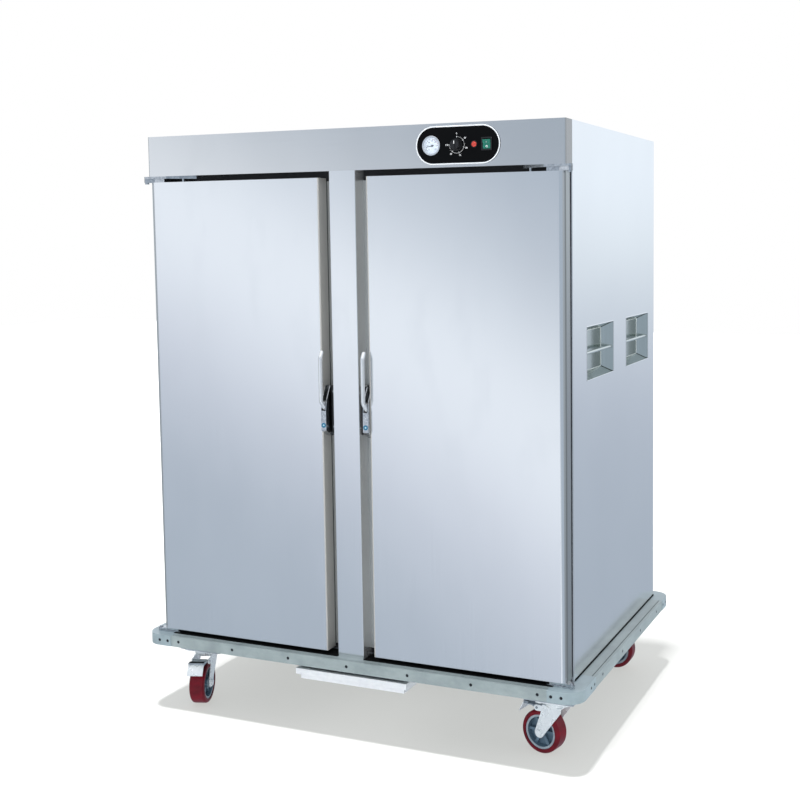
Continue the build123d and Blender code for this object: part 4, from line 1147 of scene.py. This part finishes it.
@dataclass
class CabinetBody:
    """Lips, painted light and shade on the pockets' creases, welds and screws of the outer skin."""

    pocket_places: tuple[Flat, ...] = ((-0.156, 1.154), (0.237, 1.154))
    pocket_length: float = 0.256
    pocket_height: float = 0.153
    pocket_depth: float = 35.0 * MM
    pocket_taper: float = 18.0 * MM
    lip_width: float = 3.0 * MM
    lip_lift: float = 0.9 * MM
    seam_radius: float = 1.2 * MM
    bar_depth: float = 8.0 * MM
    bar_end: float = 4.2 * MM
    weld: tuple[float, ...] = (4.6 * MM, 6.2 * MM, -0.8 * MM, 0.8 * MM)
    screw_radius: float = 4.2 * MM
    screw_height: float = 1.8 * MM
    screw_margin: float = 16.0 * MM
    side_margin: float = 36.0 * MM

    def build(self) -> None:
        """Makes the details of the skin."""
        self._pocket_lips()
        self._pocket_seams()
        self._back_screws()
        self._keeper_screws()
        self._inlet_frame()

    def _pocket_lips(self) -> None:
        """A rolled lip round each pocket's mouth, and a weld at each end of its bar."""
        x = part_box("side_panel_right")[1].x
        lips, welds = Form(), Form()
        wide, tall = self.pocket_length + 4 * MM, self.pocket_height + 4 * MM
        outline = rounded_rectangle(wide, tall, 2.5 * MM)
        end = self.pocket_length / 2 - self.bar_end
        for y, z in self.pocket_places:
            lips.rim(outline, self.lip_width, self.lip_lift, Facing.RIGHT.at(x, y, z))
            for way in (-1, 1):
                place = Facing.RIGHT.at(x - self.bar_depth, y + way * end, z)
                turned = place @ Matrix.Rotation(math.pi / 2, 4, "X")
                welds.lathe(ring_profile(*self.weld), turned, 28)
        lips.pair("pocket_lips", PANEL)
        welds.pair("push_bar_welds", POCKET_STEEL)

    def _pocket_seams(self) -> None:
        """Lines of painted light and shade on the pressed creases where a pocket's slanted walls
        meet.
        """
        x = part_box("side_panel_right")[1].x
        floor, mouth = x - self.pocket_depth + 0.4 * MM, x - 1.5 * MM
        half_y, half_z = self.pocket_length / 2, self.pocket_height / 2
        edge, taper = 0.7 * MM, self.pocket_taper
        bright, dark = Form(), Form()
        for y, z in self.pocket_places:
            ring = []
            for wy, wz in ((-1, -1), (1, -1), (1, 1), (-1, 1)):
                near = (mouth, y + wy * (half_y - edge), z + wz * (half_z - edge))
                far = (floor, y + wy * (half_y - taper), z + wz * (half_z - taper))
                # Painted highlight on the creases of one side and round the floor, painted shade on
                # the creases of the other side.
                (dark if wy > 0 else bright).tube([near, far], self.seam_radius)
                ring.append(far)
            for first, second in zip(ring, ring[1:] + ring[:1]):
                bright.tube([first, second], self.seam_radius * 0.8)
        bright.pair("pocket_seams", PAINTED_CREASE_HIGHLIGHT)
        dark.pair("pocket_creases", GROOVE)

    def _back_screws(self) -> None:
        """Round-headed screws along the four edges of the back panel."""
        low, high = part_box("back_panel")
        bottom, top = low.z + self.screw_margin, high.z - self.screw_margin
        left, right = low.x + self.side_margin, high.x - self.side_margin
        spots = [(x, z) for z in spaced(bottom, top, 9) for x in (left, right)]
        spots += [(x, z) for x in spaced(left, right, 7)[1:-1] for z in (bottom, top)]
        form = Form()
        for x, z in spots:
            form.dome(self.screw_radius, self.screw_height, Facing.BACK.at(x, high.y, z))
        form.piece("back_panel_screws", POLISHED)

    def _keeper_screws(self) -> None:
        """The bright screw on top of each keeper and two on its front."""
        low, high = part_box("latch_keepers")
        form = Form()
        x = high.x - 26.5 * MM
        form.dome(3.4 * MM, 2.6 * MM, Facing.UP.at(x, (low.y + high.y) / 2, high.z))
        for z in (high.z - 18 * MM, low.z + 18 * MM):
            form.dome(3.2 * MM, 1.6 * MM, Facing.FRONT.at(x, low.y, z))
        form.pair("keeper_screws", POLISHED)

    def _inlet_frame(self) -> None:
        """A raised frame and two screws round the power inlet."""
        low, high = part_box("power_inlet")
        centre = (low + high) / 2
        frame = Form()
        outline = rounded_rectangle(high.x - low.x, high.z - low.z, 4 * MM)
        frame.rim(outline, 3 * MM, 1.0 * MM, Facing.BACK.at(centre.x, high.y, centre.z))
        frame.piece("inlet_frame", BLACK_PLASTIC)
        screws = Form()
        for way in (-1, 1):
            place = Facing.BACK.at(centre.x, high.y, centre.z + way * 21 * MM)
            screws.dome(2.8 * MM, 1.2 * MM, place)
        screws.piece("inlet_screws", ZINC)


@dataclass
class Door:
    """Trim of one door, its hinges and latch, drawn on the right and mirrored for the left."""

    side: str
    cap_height: float = 0.940
    cap_radius: float = 7.4 * MM
    cap_ring: float = 4.6 * MM
    latch_screw_height: float = 0.966
    latch_screw_radius: float = 2.56 * MM
    rivet_margin: float = 9.0 * MM
    rivet_radius: float = 3.4 * MM
    leaf_screws: Flat = (20.0 * MM, 38.0 * MM)
    leaf_screw_radius: float = 3.0 * MM

    def build(self) -> None:
        """Makes the latch's cap, the liner's rivets and the hinge leaves' screws."""
        self._latch()
        self._inner_rivets()
        self._hinges()

    def _end(self, form: Form, name: str, finish: Finish) -> None:
        """Ends a form as a piece of this door."""
        placed = form if self.side == "right" else form.mirrored()
        placed.piece(f"{name}_{self.side}", finish, "door_" + self.side)

    def _latch(self) -> None:
        """The ringed cap and the screw on the latch case's cover."""
        x, y = middle("handle_right").x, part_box("door_fittings_right")[0].y
        place = Facing.FRONT.at(x, y, self.cap_height)
        inner = self.cap_radius - self.cap_ring
        ring, cap, screw = Form(), Form(), Form()
        ring.lathe(ring_profile(inner, self.cap_radius, -0.2 * MM, 0.7 * MM), place, 36)
        self._end(ring, "latch_cap_ring", BLUE_PRINT)
        cap.dome(inner, 0.9 * MM, place)
        self._end(cap, "latch_cap", PALE_BLUE)
        spot = Facing.FRONT.at(x, y, self.latch_screw_height)
        screw.dome(self.latch_screw_radius, 1.1 * MM, spot)
        self._end(screw, "latch_screw", POLISHED)

    def _inner_rivets(self) -> None:
        """Flat rivets along the edges of the door's inner liner."""
        low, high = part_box("door_liner_right")
        left, right = low.x + self.rivet_margin, high.x - self.rivet_margin
        bottom, top = low.z + self.rivet_margin, high.z - self.rivet_margin
        spots = [(x, z) for x in (left, right) for z in spaced(bottom, top, 8)]
        spots += [(x, z) for x in spaced(left, right, 5)[1:-1] for z in (bottom, top)]
        form = Form()
        for x, z in spots:
            form.dome(self.rivet_radius, 0.9 * MM, Facing.BACK.at(x, high.y, z), 16)
        self._end(form, "door_liner_rivets", INNER_STEEL)

    def _hinges(self) -> None:
        """Countersunk screws on the upper hinge leaf."""
        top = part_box("door_fittings_right")[1].z
        skin_low, skin_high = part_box("door_skin_right")
        form = Form()
        for inset in self.leaf_screws:
            place = Facing.UP.at(skin_high.x - inset, skin_low.y + 20 * MM, top)
            form.dome(self.leaf_screw_radius, 0.9 * MM, place, 20)
        self._end(form, "hinge_leaf_screws", ZINC)


@dataclass
class Undercarriage:
    """Details of the bumper, the chassis and the drip tray."""

    groove_inset: float = 10.3 * MM
    groove_depth: float = 1.15 * MM
    groove_width: float = 2.2 * MM
    groove_lift: float = 0.4 * MM
    groove_front: float = -0.347
    groove_rear: float = 0.391
    cap_reach: float = 98.0 * MM
    # The sizes of the painted shade strip at the body's foot.
    seal_thickness: float = 1.4 * MM
    seal_gap: float = 0.2 * MM
    seal_reach: float = 0.636
    seal_proud: float = 5.0 * MM
    weld_radius: float = 2.2 * MM
    weld_x: float = 0.6662
    weld_rows: tuple[float, ...] = (-0.068, -0.028, 0.072, 0.112)
    weld_ends: Flat = (0.2065, 0.2445)
    tray_front: float = 17.0 * MM
    tray_roll: float = 1.1 * MM

    def build(self) -> None:
        """Makes the painted shade in the bumper's groove and round the body's foot, the welds and
        the tray's edge.
        """
        self._groove()
        self._base_seal()
        self._welds()
        self._tray_edge()

    def _groove(self) -> None:
        """A dark bar of painted shade in the groove along the top of the four rails."""
        low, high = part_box("bumper_rails")
        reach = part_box("bumper_corners")[1].x - self.cap_reach
        floor = high.z - self.groove_depth
        top, half = floor + self.groove_lift, self.groove_width / 2
        form = Form()
        for y in (low.y + self.groove_inset, high.y - self.groove_inset):
            form.bar((-reach, y - half, floor), (reach, y + half, top))
        for x in (low.x + self.groove_inset, high.x - self.groove_inset):
            form.bar((x - half, self.groove_front, floor), (x + half, self.groove_rear, top))
        form.piece("bumper_groove_shade", GROOVE)

    def _base_seal(self) -> None:
        """A near-black strip of painted shade round the foot of the body, wide and flat on the
        bumper under the doors.
        """
        low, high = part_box("chassis")
        post_low, post_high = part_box("center_mullion")
        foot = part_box("bumper_rails")[1].z
        thick, gap = self.seal_thickness, self.seal_gap
        front, back = post_low.y - self.seal_proud, low.y - 2 * MM
        form = Form()
        for way in (-1, 1):
            near, far = sorted((way * (post_high.x + gap), way * self.seal_reach))
            form.bar((near, front, foot), (far, back, foot + thick), 0.4 * MM)
            near, far = sorted((way * (high.x + gap), way * (high.x + gap + thick)))
            form.bar((near, low.y + 8 * MM, foot), (far, high.y, high.z), 0.3 * MM)
        form.bar((low.x, high.y + gap, foot), (high.x, high.y + gap + thick, high.z), 0.3 * MM)
        form.piece("painted_base_shade", PAINTED_BASE_SHADE)

    def _welds(self) -> None:
        """Beads where the cross tubes meet the side beams."""
        form = Form()
        for x in (-self.weld_x, self.weld_x):
            for y in self.weld_rows:
                form.tube([(x, y, z) for z in spaced(*self.weld_ends, 6)], self.weld_radius)
        form.piece("chassis_welds", GALVANISED)

    def _tray_edge(self) -> None:
        """A rolled lower edge along the front of the drip tray."""
        low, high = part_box("drip_tray")
        y, z = low.y + 0.6 * MM, high.z - self.tray_front
        form = Form()
        ends = spaced(low.x + 2 * MM, high.x - 2 * MM, 12)
        form.tube([(x, y, z) for x in ends], self.tray_roll)
        form.piece("drip_tray_rolled_edge", ROLLED_STEEL, "drip_tray")


@dataclass
class Caster:
    """One swivel caster's raceway, washers, rings and brake plate."""

    corner: str
    swivel: Vector
    axle: Vector
    braked: bool
    race: Flat = (31.5 * MM, 33.6 * MM)
    race_low: float = 148.8 * MM
    race_high: float = 161.0 * MM
    leg_outside: float = 28.6 * MM
    rim_half: float = 21.0 * MM
    tyre_half: float = 24.0 * MM
    washer: tuple[float, ...] = (9.0 * MM, 12.6 * MM, -0.1 * MM, 1.2 * MM)
    rim_ring: tuple[float, ...] = (43.8 * MM, 50.2 * MM, -0.3 * MM, 0.8 * MM)
    boss_ring: tuple[float, ...] = (12.2 * MM, 15.3 * MM, -1.0 * MM, 3.0 * MM)
    wall_line: tuple[float, ...] = (51.6 * MM, 52.6 * MM, -0.3 * MM, 0.25 * MM)
    pedal_half: float = 25.0 * MM
    pedal_reach: float = 98.0 * MM
    pedal_top: float = 141.0 * MM
    plate_section: tuple[Flat, ...] = (
        (0.2, 0.0), (2.2, 1.2), (16.4, 27.0), (17.2, 30.0),
        (15.9, 30.0), (15.0, 27.2), (0.6, 3.6), (-0.2, 3.0),
    )
    rib_radius: float = 0.9 * MM

    def build(self) -> None:
        """Makes the pieces of this caster."""
        self._raceway()
        self._washers()
        self._wheel_rings()
        if self.braked:
            self._brake_plate()

    def _ways(self) -> tuple[Vector, Vector]:
        """The level way from the swivel to the axle, and the way along the axle."""
        trail = (self.axle - self.swivel).to_2d().normalized()
        return Vector((trail.x, trail.y, 0)), Vector((-trail.y, trail.x, 0))

    def _side(self, across: float) -> Matrix:
        """Finds a place on the axle.

        Args:
            across: Its distance from the wheel's middle, below 0 on the other side.

        Returns:
            The place, its Z axis pointing out of that side of the wheel.
        """
        sideways = self._ways()[1] * (1 if across > 0 else -1)
        up = Vector((0, 0, 1))
        turn = Matrix((up.cross(sideways), up, sideways)).transposed().to_4x4()
        return Matrix.Translation(self.axle + sideways * abs(across)) @ turn

    def _raceway(self) -> None:
        """The pressed ball race round the crown."""
        low, high = self.race_low, self.race_high
        mid, (inner, outer) = (low + high) / 2, self.race
        profile = [
            (inner, low), (outer - 1.2 * MM, low), (outer, low + 1.5 * MM),
            (outer, mid - 1 * MM), (outer - 1.4 * MM, mid), (outer, mid + 1 * MM),
            (outer, high - 1.5 * MM), (outer - 1.2 * MM, high), (inner, high),
        ]
        form = Form()
        form.lathe(profile, Facing.UP.at(self.swivel.x, self.swivel.y, 0.0), 64)
        form.piece("caster_raceway_" + self.corner, ZINC, "caster_" + self.corner)

    def _washers(self) -> None:
        """A washer under the axle's head and nut."""
        form = Form()
        for way in (-1, 1):
            form.lathe(ring_profile(*self.washer), self._side(way * self.leg_outside), 40)
        form.piece("axle_washers_" + self.corner, ZINC, "caster_" + self.corner)

    def _wheel_rings(self) -> None:
        """The pale rings of the hub and the fine moulding lines of the tyre."""
        rings, lines = Form(), Form()
        for way in (-1, 1):
            face = self._side(way * self.rim_half)
            rings.lathe(ring_profile(*self.rim_ring), face, 72)
            rings.lathe(ring_profile(*self.boss_ring), face, 40)
            wall = self._side(way * (self.tyre_half - 0.1 * MM))
            lines.lathe(ring_profile(*self.wall_line), wall, 72)
        rings.piece("hub_rings_" + self.corner, HUB_RING, "wheel_" + self.corner)
        lines.piece("tyre_lines_" + self.corner, TREAD, "wheel_" + self.corner)

    def _brake_plate(self) -> None:
        """The sloped zinc plate and the ribbed tread of the brake pedal."""
        body = "brake_pedal_" + self.corner
        back, sideways = self._ways()
        tip = Vector((self.swivel.x, self.swivel.y, 0)) + back * self.pedal_reach
        half = self.pedal_half
        plate, ribs = Form(), Form()
        rings = []
        for across in spaced(-half, half, 9):
            ring = []
            for step, drop in self.plate_section:
                point = tip + sideways * across + back * step * MM
                ring.append(Vector((point.x, point.y, self.pedal_top - drop * MM)))
            rings.append(ring)
        plate.skin(rings, False, True)
        plate.piece("pedal_lip_" + self.corner, ZINC, body)
        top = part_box(body)[1].z
        ends = spaced(1 * MM - half, half - 1 * MM, 6)
        for step in spaced(1.6 * MM, 14.4 * MM, 5):
            points = [tip - back * step + sideways * across for across in ends]
            ribs.tube([(point.x, point.y, top) for point in points], self.rib_radius)
        ribs.piece("pedal_ribs_" + self.corner, PEDAL_RUBBER, body)


@dataclass
class PanRacks:
    """Small details inside the two compartments."""

    wall_in: float = 92.8 * MM
    wall_out: float = 639.2 * MM
    web: float = 6.5 * MM
    levels: int = 11
    screw_radius: float = 2.8 * MM
    screw_height: float = 1.4 * MM
    sleeve: tuple[float, ...] = (4.4 * MM, 7.0 * MM, -0.2 * MM, 5.0 * MM)
    sleeve_spacing: float = 15.0 * MM
    sleeve_height: float = 22.0 * MM
    box_depth: float = 20.0 * MM

    def build(self) -> None:
        """Makes the ledges' screws and the heaters' sleeves."""
        posts_low, posts_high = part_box("rack_posts")
        ledge_low, ledge_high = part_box("rack_ledges")
        screws, sleeves = Form(), Form()
        inner, outer = self.wall_in + self.web, self.wall_out - self.web
        heights = spaced(ledge_low.z + 8 * MM, ledge_high.z - 8 * MM, self.levels)
        for y in (posts_low.y + 12.5 * MM, posts_high.y - 12.5 * MM):
            for z in heights:
                for place in (Facing.RIGHT.at(inner, y, z), Facing.LEFT.at(outer, y, z)):
                    screws.dome(self.screw_radius, self.screw_height, place, 14)
        heater_low, heater_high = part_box("heating_elements")
        y, z = heater_high.y - self.box_depth, heater_low.z + self.sleeve_height
        centre = (self.wall_in + self.wall_out) / 2
        for x in (centre - self.sleeve_spacing, centre + self.sleeve_spacing):
            sleeves.lathe(ring_profile(*self.sleeve), Facing.FRONT.at(x, y, z), 28)
        screws.pair("ledge_screws", ZINC)
        sleeves.pair("heater_sleeves", WHITE_ENAMEL)


@dataclass(frozen=True)
class Softbox:
    """A square or upright area light that the steel doesn't mirror."""

    name: str
    place: Point
    aim: Point
    size: Flat
    power: float

    def make(self) -> bpy.types.Object:
        """Makes the light.

        Returns:
            Its object, linked to the scene.
        """
        data = bpy.data.lights.new(self.name, "AREA")
        data.shape = "RECTANGLE"
        data.size, data.size_y = self.size
        data.energy = self.power
        lamp = bpy.data.objects.new(self.name, data)
        lamp.location = self.place
        way = Vector(self.aim) - Vector(self.place)
        lamp.rotation_euler = way.to_track_quat("-Z", "Y").to_euler()
        lamp.visible_glossy = False
        bpy.context.scene.collection.objects.link(lamp)
        return lamp


@dataclass
class Studio:
    """The floor, the light and the camera at the photograph's viewing angle."""

    camera_place: Point = (1.711, -3.428, 1.488)
    camera_yaw: float = 21.82
    camera_pitch: float = 4.57
    camera_roll: float = -0.46
    focal_pixels: float = 1174.0
    image_pixels: float = 800.0
    optical_centre: Flat = (512.0, 330.0)
    sensor: float = 36.0
    view_depth: float = 60.0
    floor_reach: float = 14.0
    overhead: Softbox = Softbox("overhead", (0.0, -0.45, 6.0), (0, 0, 0), (0.9, 0.9), 140.0)
    shadow_key: Softbox = Softbox("shadow_key", (0.0, -3.5, 30.0), (0, 0, 0), (2.0, 2.0), 26000.0)
    fills: tuple[Softbox, ...] = (
        Softbox("front_fill", (1.5, -5.5, 2.2), (0, 0, 0.8), (3.0, 2.4), 50.0),
        Softbox("right_fill", (4.5, -0.4, 2.0), (0.6, 0, 0.9), (1.5, 2.6), 26.0),
    )
    room_strength: float = 1.16
    band_slope: float = 0.71
    band_lift: float = 0.906
    back_lift: float = 0.5
    side_low_tone: str = "7B8287"
    side_high_tone: str = "B9C1C9"
    ceiling_tone: str = "F6F8FB"
    front_bands: tuple[tuple[float, str], ...] = (
        (0.10, "9FABB8"), (0.29, "A4AFBC"), (0.39, "C8CEDB"), (0.45, "E6EDF5"),
        (0.52, "ECF2F9"), (0.58, "CDD5DF"), (0.63, "B9C2CD"), (0.70, "ABB5C2"),
        (0.77, "A1ADBA"),
    )
    back_bands: tuple[tuple[float, str], ...] = (
        (0.20, "A0ABB8"), (0.31, "A8B2BF"), (0.37, "B1BAC7"), (0.44, "C6CFD9"),
        (0.49, "D8E1E9"), (0.55, "E3ECF5"), (0.70, "E8EFF6"),
    )

    def build(self) -> None:
        """Sets up the floor, the lights, the surroundings and the camera."""
        floor = self._floor()
        self._surroundings()
        self._lights(floor)
        self._camera()
        bpy.context.scene.view_settings.view_transform = "Standard"

    def _floor(self) -> bpy.types.Object:
        """Makes a wide pale floor that the steel doesn't mirror.

        Returns:
            Its object.
        """
        reach = self.floor_reach
        mesh = bpy.data.meshes.new("floor")
        corners = [(-reach, -reach, 0), (reach, -reach, 0), (reach, reach, 0), (-reach, reach, 0)]
        mesh.from_pydata(corners, [], [(0, 1, 2, 3)])
        mesh.materials.append(StudioFloor("studio floor").material())
        floor = bpy.data.objects.new("floor", mesh)
        bpy.context.scene.collection.objects.link(floor)
        floor.visible_glossy = False
        return floor

    def _surroundings(self) -> None:
        """White to the camera, and a soft sky of bands for the steel to mirror."""
        world = bpy.data.worlds.new("studio")
        bpy.context.scene.world = world
        world.use_nodes = True
        graph = Graph(world.node_tree)
        across, along, height = (graph.axis(name, "Generated") for name in "XYZ")
        slant = height + across * self.band_slope + self.band_lift
        front = graph.node("ShaderNodeValToRGB", {"stops": self.front_bands}, {0: slant})
        level = height + self.back_lift
        back = graph.node("ShaderNodeValToRGB", {"stops": self.back_bands}, {0: level})
        room = graph.blend(along.between(-0.3, 0.3), front, back)
        low, high = colour(self.side_low_tone), colour(self.side_high_tone)
        wall = graph.blend(height.between(-0.35, 0.45), low, high)
        room = graph.blend((across * across).between(0.50, 0.72), room, wall)
        shade = graph.blend(height.between(0.35, 0.75), room, colour(self.ceiling_tone))
        sky = {"Color": shade, "Strength": self.room_strength}
        soft = graph.node("ShaderNodeBackground", None, sky)
        white = graph.node("ShaderNodeBackground", None, {"Color": WHITE, "Strength": 1.0})
        seen = graph.node("ShaderNodeLightPath", output="Is Camera Ray")
        mixed = graph.node("ShaderNodeMixShader", None, {0: seen, 1: soft, 2: white})
        graph.node("ShaderNodeOutputWorld", None, {"Surface": mixed})

    def _lights(self, floor: bpy.types.Object) -> None:
        """An overhead softbox, one for the floor's shadow alone, and two fills.

        Args:
            floor: The floor, the only thing that the shadow's light reaches.
        """
        self.overhead.make()
        shadow = self.shadow_key.make()
        lit = bpy.data.collections.new("floor_only")
        lit.objects.link(floor)
        shadow.light_linking.receiver_collection = lit
        for fill in self.fills:
            fill.make()

    def _camera(self) -> None:
        """The camera, placed from the photograph's perspective."""
        data = bpy.data.cameras.new("photo_view")
        pixels = self.image_pixels
        data.sensor_width = self.sensor
        data.lens = self.focal_pixels / pixels * self.sensor
        data.shift_x = (pixels / 2 - self.optical_centre[0]) / pixels
        data.shift_y = (self.optical_centre[1] - pixels / 2) / pixels
        data.clip_end = self.view_depth
        camera = bpy.data.objects.new("photo_view", data)
        turn = Matrix.Rotation(math.radians(self.camera_yaw), 4, "Z")
        turn @= Matrix.Rotation(math.radians(90 - self.camera_pitch), 4, "X")
        turn @= Matrix.Rotation(math.radians(self.camera_roll), 4, "Z")
        camera.matrix_world = Matrix.Translation(self.camera_place) @ turn
        bpy.context.scene.collection.objects.link(camera)
        bpy.context.scene.camera = camera


def main() -> None:
    """Builds the looks round the frame."""
    logging.basicConfig(level=logging.INFO, format="%(message)s")
    for kept in list(bpy.data.objects):
        bpy.data.objects.remove(kept)
    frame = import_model()
    CadFinishes(frame["nodes"]).apply()
    ControlPanel().build()
    CabinetBody().build()
    for side in SIDES:
        Door(side).build()
    PanRacks().build()
    Undercarriage().build()
    joints = {joint["name"]: joint for joint in frame["joints"]}
    for corner in CORNERS:
        swivel = Vector(joints[f"caster_{corner}_swivel"]["pos_m"])
        axle = Vector(joints[f"wheel_{corner}_roll"]["pos_m"])
        Caster(corner, swivel, axle, corner.startswith("front")).build()
    Studio().build()


if __name__ == "__main__":
    main()
